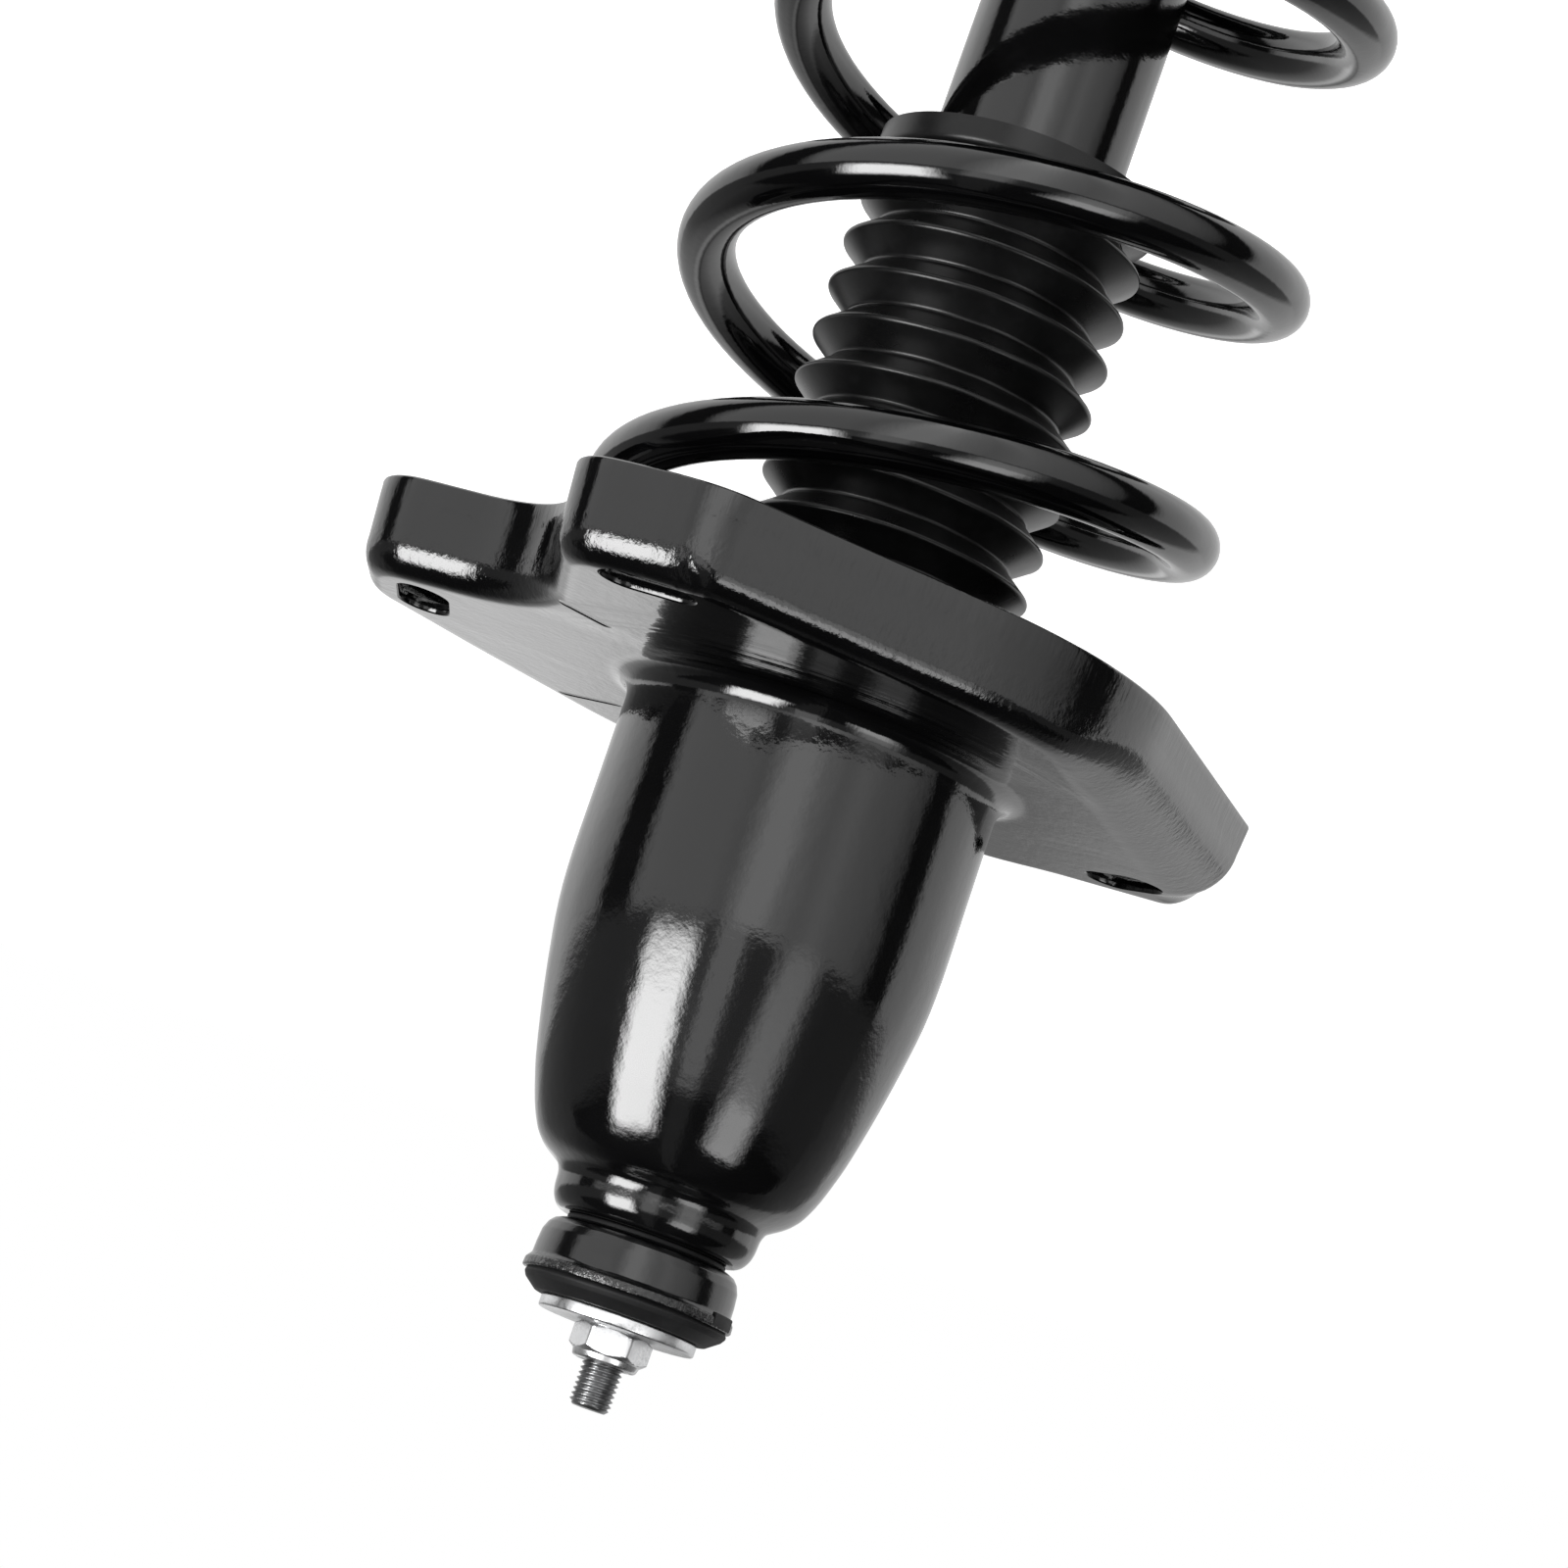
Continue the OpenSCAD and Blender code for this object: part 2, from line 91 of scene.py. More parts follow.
# ------------------------------------------------------------------ light
def area(name, azimuth, elevation, distance, w, h, radiance, across, upward, target=(0, 0, 0.45)):
    """Soft box seen from the target at that azimuth from -Y towards +X, and elevation.
    across and upward are its brightness over its width and height, as (place 0 to 1, brightness) stops."""
    a, e = math.radians(azimuth), math.radians(elevation)
    d = Vector((math.sin(a) * math.cos(e), -math.cos(a) * math.cos(e), math.sin(e)))
    light = bpy.data.lights.new(name, "AREA")
    light.shape = "RECTANGLE"
    light.size, light.size_y = w, h
    light.energy = radiance * math.pi * w * h
    light.use_nodes = True
    nt = light.node_tree
    glow_ = next(n for n in nt.nodes if n.type == "EMISSION")
    sep = nt.nodes.new("ShaderNodeSeparateXYZ")
    nt.links.new(nt.nodes.new("ShaderNodeNewGeometry").outputs["Parametric"], sep.inputs[0])
    both_ = nt.nodes.new("ShaderNodeMath")
    both_.operation = "MULTIPLY"
    for i, stops in enumerate((across, upward)):
        ramp = nt.nodes.new("ShaderNodeValToRGB")
        ramp.color_ramp.interpolation = "EASE"
        fill_ramp(ramp.color_ramp, [(x, (v, v, v)) for x, v in stops])
        nt.links.new(sep.outputs[i], ramp.inputs[0])
        nt.links.new(ramp.outputs["Color"], both_.inputs[i])
    nt.links.new(both_.outputs[0], glow_.inputs["Strength"])
    ob = bpy.data.objects.new(name, light)
    ob.location = Vector(target) + d * distance
    ob.rotation_euler = (-d).to_track_quat("-Z", "Y").to_euler()
    ob.visible_camera = False
    scene.collection.objects.link(ob)
    return ob


def fill_ramp(ramp, stops):
    first, last = ramp.elements[0], ramp.elements[-1]
    last.position = stops[-1][0]
    last.color = (*stops[-1][1], 1)
    first.position = stops[0][0]
    first.color = (*stops[0][1], 1)
    for p, c in stops[1:-1]:
        ramp.elements.new(p).color = (*c, 1)


area("softbox_left", 44.5, 24.5, 2.5, 1.85, 2.0, 18, ((0, 0), (0.28, 1), (0.74, 1), (1, 0)),
     ((0, 0), (0.27, 1), (0.68, 1), (1, 0)))
area("softbox_right", -33, 22, 2.5, 1.7, 1.95, 5.2, ((0, 0), (0.38, 1), (0.62, 1), (1, 0)),
     ((0, 0), (0.12, 0.36), (0.42, 0.42), (0.58, 0.95), (0.85, 1), (1, 0)))

# brightness of the white surroundings by azimuth from -Y, positive towards +X, for rays near or below level,
# with a dark flag on each side
AROUND = ((-180, 0.7), (-165, 0.8), (-152, 0.85), (-139, 1.0), (-131, 1.2), (-101, 1.35), (-97, 1.1), (-93, 0.04),
          (-79, 0.04), (-75, 0.45), (-62, 0.95), (-45, 1.25), (-34, 1.6), (-22, 1.35), (-11, 1.8), (-1, 2.7), (10, 2.7),
          (17, 1.8), (23, 1.25), (33, 1.45), (75, 1.45), (79, 0.9), (83, 0.04), (101, 0.04), (106, 1.1), (112, 1.35),
          (131, 1.38), (140, 1.25), (152, 0.9), (165, 0.85), (180, 0.7))
# the same behind the part, for rays that rise above level
BEHIND = ((-180, 0.55), (-178, 0.38), (-177, 0.3), (-176, 0.5), (-174, 0.6), (-165, 0.75), (-142, 1.1), (-134, 0.4),
          (-101, 0.25), (101, 0.25), (142, 0.32), (154, 0.6), (169, 0.8), (173, 1.3), (176, 1.38), (177, 1.3), (178, 1.1), (179, 0.8),
          (180, 0.55))
# and in front of it
AHEAD = ((-180, 0.18), (-60, 0.18), (-25, 0.45), (-14, 0.3), (-4, 0.3), (0, 0.6), (4, 1.9), (16, 1.9), (20, 0.6),
         (30, 0.5), (75, 0.27), (180, 0.18))
FULL = 2.7


def surroundings(nt, vector, level_only=False):
    """Node socket with the brightness of the studio in a direction."""
    def node(kind, **kw):
        n = nt.nodes.new(kind)
        for k, v in kw.items():
            setattr(n, k, v)
        return n

    def calc(op, x, y):
        n = node("ShaderNodeMath", operation=op)
        for i, v in enumerate((x, y)):
            if isinstance(v, (int, float)):
                n.inputs[i].default_value = v
            else:
                nt.links.new(v, n.inputs[i])
        return n.outputs[0]

    def ramp_of(value, stops):
        n = node("ShaderNodeValToRGB")
        fill_ramp(n.color_ramp, [(x, (v / FULL,) * 3) for x, v in stops])
        nt.links.new(value, n.inputs[0])
        return calc("MULTIPLY", n.outputs["Color"], FULL)

    def blend_of(fac, x, y):
        n = node("ShaderNodeMix", data_type="FLOAT")
        nt.links.new(fac, n.inputs[0])
        nt.links.new(x, n.inputs[2])
        nt.links.new(y, n.inputs[3])
        return n.outputs[0]

    sep = node("ShaderNodeSeparateXYZ")
    nt.links.new(vector, sep.inputs[0])
    turn = calc("ARCTAN2", sep.outputs["X"], calc("MULTIPLY", sep.outputs["Y"], -1.0))
    az = calc("ADD", calc("MULTIPLY", turn, 0.5 / math.pi), 0.5)
    at = lambda deg: deg / 360 + 0.5
    low = ramp_of(az, [(at(d), v) for d, v in AROUND])
    if level_only:
        return low
    up = calc("ADD", calc("MULTIPLY", sep.outputs["Z"], 0.5), 0.5)
    el = lambda deg: math.sin(math.radians(deg)) / 2 + 0.5
    high = calc("MULTIPLY", ramp_of(az, [(at(d), v) for d, v in AHEAD]),
                ramp_of(up, [(el(-90), 1), (el(20), 1), (el(26), 0.12), (el(90), 0.1)]))
    back = calc("MULTIPLY", ramp_of(az, [(at(d), v) for d, v in BEHIND]),
                ramp_of(up, [(el(-90), 1), (el(30), 1), (el(60), 0.1), (el(90), 0.07)]))
    front = ramp_of(az, [(at(d), v) for d, v in ((-180, 0), (-99, 0), (-95, 1), (102, 1), (106, 0), (180, 0))])
    raised = ramp_of(up, [(el(-90), 0), (el(1), 0), (el(4), 1), (el(90), 1)])
    behind = blend_of(raised, low, back)
    ahead = blend_of(raised, low, high)
    return blend_of(front, behind, ahead)


world = bpy.data.worlds.new("studio")
scene.world = world
world.use_nodes = True
wt = world.node_tree
wt.nodes.clear()
w_out = wt.nodes.new("ShaderNodeOutputWorld")
w_bg = wt.nodes.new("ShaderNodeBackground")
w_seen = wt.nodes.new("ShaderNodeBackground")
w_mix = wt.nodes.new("ShaderNodeMixShader")
w_seen.inputs["Color"].default_value = (1, 1, 1, 1)
w_bg.inputs["Color"].default_value = (1, 1, 1, 1)
wt.links.new(surroundings(wt, wt.nodes.new("ShaderNodeTexCoord").outputs["Generated"]), w_bg.inputs["Strength"])
wt.links.new(wt.nodes.new("ShaderNodeLightPath").outputs["Is Camera Ray"], w_mix.inputs[0])
wt.links.new(w_bg.outputs[0], w_mix.inputs[1])
wt.links.new(w_seen.outputs[0], w_mix.inputs[2])
wt.links.new(w_mix.outputs[0], w_out.inputs["Surface"])


# ------------------------------------------------------------------ materials
class Mat:
    """A Principled material whose colour, roughness and bump come from procedural textures in the part's own space."""

    def __init__(self, name, **values):
        self.mat = bpy.data.materials.new(name)
        self.mat.use_nodes = True
        self.nt = self.mat.node_tree
        self.nt.nodes.clear()
        self.out = self.add("ShaderNodeOutputMaterial")
        self.b = self.add("ShaderNodeBsdfPrincipled")
        self.link(self.b.outputs[0], self.out.inputs["Surface"])
        self.co = self.add("ShaderNodeTexCoord").outputs["Object"]
        for k, v in values.items():
            self.b.inputs[k.replace("_", " ")].default_value = v

    def add(self, kind, **kw):
        n = self.nt.nodes.new(kind)
        for k, v in kw.items():
            setattr(n, k, v)
        return n

    def link(self, a, b):
        self.nt.links.new(a, b)

    def scaled(self, xyz, source=None):
        n = self.add("ShaderNodeMapping")
        n.inputs["Scale"].default_value = xyz
        self.link(source or self.co, n.inputs["Vector"])
        return n.outputs[0]

    def noise(self, scale, detail=3.0, rough=0.5, co=None, distortion=0.0):
        n = self.add("ShaderNodeTexNoise")
        n.inputs["Scale"].default_value = scale
        n.inputs["Detail"].default_value = detail
        n.inputs["Roughness"].default_value = rough
        n.inputs["Distortion"].default_value = distortion
        self.link(co or self.co, n.inputs["Vector"])
        return n.outputs[0]

    def voronoi(self, scale, co=None, feature="F1", out="Distance"):
        n = self.add("ShaderNodeTexVoronoi", feature=feature)
        n.inputs["Scale"].default_value = scale
        self.link(co or self.co, n.inputs["Vector"])
        return n.outputs[out]

    def wave(self, scale, direction="Z", distortion=0.0, detail=2.0, co=None, kind="BANDS"):
        n = self.add("ShaderNodeTexWave", wave_type=kind)
        if kind == "BANDS":
            n.bands_direction = direction
        else:
            n.rings_direction = direction
        n.inputs["Scale"].default_value = scale
        n.inputs["Distortion"].default_value = distortion
        n.inputs["Detail"].default_value = detail
        self.link(co or self.co, n.inputs["Vector"])
        return n.outputs[1]

    def remap(self, value, a, b, c, d):
        n = self.add("ShaderNodeMapRange")
        for i, v in zip((1, 2, 3, 4), (a, b, c, d)):
            n.inputs[i].default_value = v
        self.link(value, n.inputs[0])
        return n.outputs[0]

    def math(self, op, a, b):
        n = self.add("ShaderNodeMath", operation=op)
        for i, v in enumerate((a, b)):
            if isinstance(v, (int, float)):
                n.inputs[i].default_value = v
            else:
                self.link(v, n.inputs[i])
        return n.outputs[0]

    def axes(self):
        """Sockets with x, y, z and the distance from the strut's axis, in metres."""
        sep = self.add("ShaderNodeSeparateXYZ")
        self.link(self.co, sep.inputs[0])
        x, y, z = sep.outputs
        r = self.math("SQRT", self.math("ADD", self.math("MULTIPLY", x, x), self.math("MULTIPLY", y, y)), 0.0)
        return x, y, z, r

    def rise(self, value, a, b):
        """0 below a, 1 above b, smooth between them; falling if a is above b."""
        n = self.add("ShaderNodeMapRange", interpolation_type="SMOOTHSTEP")
        for i, v in zip((1, 2, 3, 4), (a, b, 0.0, 1.0) if a < b else (b, a, 1.0, 0.0)):
            n.inputs[i].default_value = v
        self.link(value, n.inputs[0])
        return n.outputs[0]

    def times(self, first, *more):
        for v in more:
            first = self.math("MULTIPLY", first, v)
        return first

    def point(self, x, y=0.0, z=0.0):
        n = self.add("ShaderNodeCombineXYZ")
        for i, v in enumerate((x, y, z)):
            if isinstance(v, (int, float)):
                n.inputs[i].default_value = v
            else:
                self.link(v, n.inputs[i])
        return n.outputs[0]

    def groove(self, x, y, x0, y0, x1, y1, width):
        """1 along the line between two points of the plan, 0 off it. Metres."""
        length = math.hypot(x1 - x0, y1 - y0)
        ux, uy = (x1 - x0) / length, (y1 - y0) / length
        along = self.math("ADD", self.math("ADD", self.math("MULTIPLY", x, ux), self.math("MULTIPLY", y, uy)),
                          -(x0 * ux + y0 * uy))
        across = self.math("ADD", self.math("ADD", self.math("MULTIPLY", x, -uy), self.math("MULTIPLY", y, ux)),
                           x0 * uy - y0 * ux)
        across = self.math("ABSOLUTE", across, 0.0)
        return self.times(self.rise(across, width, 0.0), self.rise(along, 0.0, length * 0.25),
                          self.rise(along, length, length * 0.75))

    def colours(self, value, stops):
        n = self.add("ShaderNodeValToRGB")
        fill_ramp(n.color_ramp, stops)
        self.link(value, n.inputs[0])
        return n.outputs[0]

    def mix(self, fac, a, b):
        n = self.add("ShaderNodeMix", data_type="RGBA")
        self.link(fac, n.inputs[0])
        for i, v in ((6, a), (7, b)):
            if isinstance(v, tuple):
                n.inputs[i].default_value = (*v, 1)
            else:
                self.link(v, n.inputs[i])
        return n.outputs[2]

    def bump(self, height, distance, strength=1.0, normal=None):
        n = self.add("ShaderNodeBump")
        n.inputs["Strength"].default_value = strength
        n.inputs["Distance"].default_value = distance
        self.link(height, n.inputs["Height"])
        if normal is not None:
            self.link(normal, n.inputs["Normal"])
        return n.outputs[0]

    def set(self, socket, value):
        self.link(value, self.b.inputs[socket])


def black_paint(name, base=(0.0012, 0.0012, 0.0013), rough=(0.05, 0.11), peel=1.0, press=False, lip=False):
    p = Mat(name)
    p.b.inputs["IOR"].default_value = 1.52
    cloud = p.noise(38, 5, 0.6)
    fine = p.noise(900, 3, 0.6)
    p.set("Base Color", p.colours(cloud, [(0.3, tuple(c * 0.75 for c in base)), (0.7, tuple(c * 1.5 for c in base))]))
    p.set("Roughness", p.remap(p.math("ADD", p.math("MULTIPLY", cloud, 0.7), p.math("MULTIPLY", fine, 0.3)),
                               0.35, 0.68, rough[0], rough[1]))
    n = p.bump(p.noise(430, 2, 0.5), 0.00008 * peel, 0.55)
    n = p.bump(p.noise(1500, 2, 0.5), 0.000022 * peel, 0.6, n)
    n = p.bump(p.noise(60, 2, 0.4), 0.0003, 0.15, n)
    x, y, z, r = p.axes()
    if press:
        # broad swirls of the pressing
        n = p.bump(p.noise(26, 2, 0.5, distortion=1.5), 0.0008, 0.22, n)
        # draw ridges on the flange face in front of the bell
        face = p.times(p.rise(z, 0.4222, 0.4228), p.rise(z, 0.4242, 0.4236), p.rise(y, -0.030, -0.050))
        rings = p.noise(150, 2, 0.6, p.point(p.math("ADD", r, p.math("MULTIPLY", p.noise(22, 1, 0.4), 0.008))))
        n = p.bump(p.times(rings, face, p.rise(r, 0.050, 0.056), p.rise(r, 0.090, 0.078)), 0.0006, 1.0, n)
        # orange peel and scuffs round the rim's corner
        corner = p.times(p.rise(z, 0.409, 0.4145), p.rise(z, 0.4229, 0.4215), p.rise(r, 0.060, 0.066))
        n = p.bump(p.times(p.noise(620, 3, 0.6, p.scaled((1, 1, 0.8))), corner), 0.00012, 1.0, n)
        # draw lines up the rim's wall
        wall = p.times(p.rise(z, 0.4075, 0.4045), p.rise(r, 0.060, 0.066))
        n = p.bump(p.times(p.noise(650, 2, 0.5, p.scaled((1, 1, 0.06))), wall), 0.00007, 1.0, n)
        # creases beside the notch
        crease = p.math("MAXIMUM", p.groove(x, y, 0.0675, -0.0545, 0.0545, -0.0445, 0.0017),
                        p.groove(x, y, 0.066, 0.052, 0.049, 0.0405, 0.0016))
        n = p.bump(p.math("MULTIPLY", crease, -1.0), 0.0019, 1.0, n)
    if lip:
        edge = p.times(p.rise(z, 0.5606, 0.5614), p.rise(r, 0.0238, 0.0243))
        n = p.bump(p.times(p.noise(750, 3, 0.7, p.scaled((1, 1, 0.8))), edge), 0.00042, 1.0, n)
    p.set("Normal", n)
    return p.mat


PAINT = black_paint("black_gloss_paint", press=True)
PAINT_CUP = black_paint("black_cup_paint", rough=(0.12, 0.18), lip=True)
PAINT_TUBE = black_paint("black_tube_paint", base=(0.0016, 0.0016, 0.0017), rough=(0.05, 0.09), peel=0.6)
PAINT_SPRING = black_paint("black_spring_coat", base=(0.0008, 0.0008, 0.0009), rough=(0.05, 0.09), peel=0.45)


def zinc(name, base=0.80, rough=(0.16, 0.34), fine_lines=False, pits=1.0):
    p = Mat(name, Metallic=1.0)
    patch = p.noise(220, 4, 0.65)
    spots = p.noise(1300, 3, 0.6)
    c = lambda k: (base * k, base * k * 1.005, base * k * 1.015)
    p.set("Base Color", p.colours(p.math("ADD", p.math("MULTIPLY", patch, 0.6), p.math("MULTIPLY", spots, 0.4)),
                                  [(0.36, c(0.72)), (0.5, c(1.0)), (0.66, c(1.08))]))
    p.set("Roughness", p.remap(patch, 0.35, 0.7, rough[0], rough[1]))
    n = p.bump(spots, 0.00006 * pits, 0.35)
    n = p.bump(p.noise(160, 2, 0.5), 0.0003 * pits, 0.12, n)
    if fine_lines:
        n = p.bump(p.wave(900, "Z", 1.5), 0.00003, 0.25, n)
    p.set("Normal", n)
    return p.mat


ZINC = zinc("zinc_plate", base=0.56, rough=(0.24, 0.42))
THREAD = zinc("thread_steel", base=0.25, rough=(0.28, 0.38), pits=0.08)
STEEL = zinc("machined_steel", base=0.55, rough=(0.2, 0.36), fine_lines=True)
CHROME = zinc("hard_chrome", base=0.66, rough=(0.05, 0.1))


def rubber(name, base=(0.004, 0.004, 0.0042), rough=(0.5, 0.72), grain=1.0, shine=0.2):
    p = Mat(name)
    p.b.inputs["Specular IOR Level"].default_value = shine
    cloud = p.noise(60, 5, 0.6)
    bloom = p.noise(400, 4, 0.7)
    p.set("Base Color", p.colours(p.math("ADD", p.math("MULTIPLY", cloud, 0.6), p.math("MULTIPLY", bloom, 0.4)),
                                  [(0.35, tuple(c * 0.6 for c in base)), (0.52, base), (0.72, tuple(c * 2.2 for c in base))]))
    p.set("Roughness", p.remap(cloud, 0.3, 0.7, rough[0], rough[1]))
    n = p.bump(p.noise(1800, 3, 0.6), 0.00005 * grain, 0.5)
    n = p.bump(p.noise(250, 3, 0.5), 0.0002 * grain, 0.2, n)
    p.set("Normal", n)
    return p.mat


RUBBER = rubber("bush_rubber")
BOOT = rubber("boot_elastomer", base=(0.0025, 0.0025, 0.0026), rough=(0.26, 0.34), grain=0.5, shine=0.28)


def plain(name, base, rough, metallic=0.0, grain=700, depth=0.00008):
    p = Mat(name, Metallic=metallic)
    a = p.noise(grain, 4, 0.65)
    b = p.noise(grain / 9, 4, 0.6)
    p.set("Base Color", p.colours(p.math("ADD", p.math("MULTIPLY", a, 0.5), p.math("MULTIPLY", b, 0.5)),
                                  [(0.35, tuple(c * 0.7 for c in base)), (0.65, tuple(min(1, c * 1.2) for c in base))]))
    p.set("Roughness", p.remap(b, 0.35, 0.65, rough[0], rough[1]))
    p.set("Normal", p.bump(a, depth, 0.5))
    return p.mat


SINTER = plain("sintered_iron", (0.28, 0.27, 0.26), (0.45, 0.65), 0.8, 1500, 0.0001)
PTFE = plain("filled_ptfe", (0.16, 0.26, 0.22), (0.35, 0.5), 0.0, 900, 0.00004)
FOAM = plain("microcellular_foam", (0.70, 0.62, 0.38), (0.7, 0.85), 0.0, 1400, 0.00025)


# ------------------------------------------------------------------ mesh helpers
def new_mesh(name, verts, faces, mat, sharp=None):
    me = bpy.data.meshes.new(name)
    me.from_pydata([tuple(map(float, v)) for v in verts], [], [tuple(map(int, f)) for f in faces])
    me.update()
    me.materials.append(mat)
    me.polygons.foreach_set("use_smooth", [True] * len(me.polygons))
    if sharp:
        me.set_sharp_from_angle(angle=math.radians(sharp))
    ob = bpy.data.objects.new(name, me)
    scene.collection.objects.link(ob)
    return ob


def outward(ob):
    """Recalculates the faces' normals to point outwards."""
    bm = bmesh.new()
    bm.from_mesh(ob.data)
    bmesh.ops.recalc_face_normals(bm, faces=bm.faces)
    if bm.calc_volume(signed=True) < 0:
        bmesh.ops.reverse_faces(bm, faces=bm.faces)
    bm.to_mesh(ob.data)
    bm.free()
    ob.data.update()
    return ob


def loops_mesh(name, loops, mat, closed=True, sharp=None, caps=False):
    """Skin over loops of equal length, each in mm. closed joins the last loop to the first."""
    n, k = len(loops[0]), len(loops)
    verts = np.concatenate([np.asarray(l, float) for l in loops]) * MM
    faces = []
    for j in range(k if closed else k - 1):
        a0, b0 = j * n, ((j + 1) % k) * n
        for i in range(n):
            i2 = (i + 1) % n
            faces.append((a0 + i, a0 + i2, b0 + i2, b0 + i))
    if caps:
        faces.append(tuple(range(n))[::-1])
        faces.append(tuple((k - 1) * n + i for i in range(n)))
    return outward(new_mesh(name, verts, faces, mat, sharp))


def rounded(profile, seg=5, closed=True):
    """Rounds the corners of a profile of (r, z, fillet radius) points."""
    out = []
    n = len(profile)
    for i, p in enumerate(profile):
        r = p[2] if len(p) > 2 else 0
        b = np.array(p[:2], float)
        if r <= 0 or (not closed and i in (0, n - 1)):
            out.append(tuple(b))
            continue
        a = np.array(profile[i - 1][:2], float)
        c = np.array(profile[(i + 1) % n][:2], float)
        u, v = a - b, c - b
        lu, lv = np.linalg.norm(u), np.linalg.norm(v)
        u, v = u / lu, v / lv
        cosang = float(np.clip(u @ v, -1, 1))
        half = math.acos(cosang) / 2
        if half > math.radians(89.5):
            out.append(tuple(b))
            continue
        q = min(r / math.tan(half), lu * 0.48, lv * 0.48)
        r = q * math.tan(half)
        m_ = b + (u + v) / np.linalg.norm(u + v) * (r / math.sin(half))
        s, e = b + u * q, b + v * q
        a0 = math.atan2(*(s - m_)[::-1])
        a1 = math.atan2(*(e - m_)[::-1])
        da = (a1 - a0 + math.pi) % (2 * math.pi) - math.pi
        for k in range(seg + 1):
            t = a0 + da * k / seg
            out.append((m_[0] + r * math.cos(t), m_[1] + r * math.sin(t)))
    return out


def revolve(name, profile, mat, n=128, sharp=None, closed=True, wobble=None):
    """Turns a profile of (r, z) in mm about Z."""
    ang = np.arange(n) * 2 * math.pi / n
    loops = []
    for r, z in profile:
        rr, zz = np.full(n, float(r)), np.full(n, float(z))
        if wobble:
            rr, zz = wobble(rr, zz, ang)
        loops.append(np.stack([rr * np.cos(ang), rr * np.sin(ang), zz], 1))
    return loops_mesh(name, loops, mat, closed, sharp)


def smooth_curve(points, n):
    """Catmull-Rom through the points, n steps between each two."""
    p = [np.array(q, float) for q in points]
    out = []
    for i in range(len(p) - 1):
        a, b, c, d = p[max(i - 1, 0)], p[i], p[i + 1], p[min(i + 2, len(p) - 1)]
        for k in range(n):
            t = k / n
            out.append(0.5 * (2 * b + (c - a) * t + (2 * a - 5 * b + 4 * c - d) * t * t
                              + (3 * b - a - 3 * c + d) * t ** 3))
    out.append(p[-1])
    return out


def tube_along(name, path, radius, mat, sides=16, closed=True, ripple=0.0, squash=1.0):
    """A bead along a path of points in mm."""
    path = np.asarray(path, float)
    n = len(path)
    loops = []
    for i in range(n):
        a = path[i - 1] if closed or i else path[i]
        b = path[(i + 1) % n] if closed or i < n - 1 else path[i]
        t = (b - a) / np.linalg.norm(b - a)
        ref = np.array((0, 0, 1.0)) if abs(t[2]) < 0.9 else np.array((1.0, 0, 0))
        e1 = np.cross(t, ref)
        e1 /= np.linalg.norm(e1)
        e2 = np.cross(e1, t)
        r = radius * (1 + ripple * math.sin(i * 2 * math.pi / 6))
        ang = np.arange(sides) * 2 * math.pi / sides
        loops.append(path[i] + r * (np.cos(ang)[:, None] * e1 + squash * np.sin(ang)[:, None] * e2))
    return loops_mesh(name, loops, mat, closed, caps=not closed)


def done(ob, body, *nodes, slot=None):
    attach(ob, body)
    if nodes:
        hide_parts(*nodes)
    return ob


# ------------------------------------------------------------------ main heights, mm
TIP, FLANGE, TUBE_TOP, CUFF, SEAT = 590.0, 423.0, 300.0, 274.0, 118.0
SHEET = 3.0
FLOOR = FLANGE - SHEET
RIM_Z = 399.5
COIL_TOP, COIL_R, WIRE_R = 408.0, 68.0, 7.2
WASHER = TIP - 21.9
CUP = TIP - 40.0
LOW_WASHER = TIP - 59.0
SHOULDER = LOW_WASHER - 2.5
CAP = 36.0

# ------------------------------------------------------------------ mount housing
RIM = [(118.6, 10.6, 18), (119.4, -20, 17), (73.6, -37.8, 34), (71.6, -102.8, 15), (60.5, -108.2, 16),
       (50, -112.6, 20), (38, -116, 24), (-60.5, -83.7, 78), (-106.9, 36.8, 3), (-102.3, 56.5, 14), (-60, 71.3, 30),
       (29, 98, 85)]
BETWEEN = [12, 26, 30, 6, 6, 8, 34, 44, 8, 22, 26, 44]
SLOTS = ((101, -2.5, 90, 25), (47.7, -99.7, 15, 22.5), (-82, 41, 48, 22))
SLOT_W = 12.5


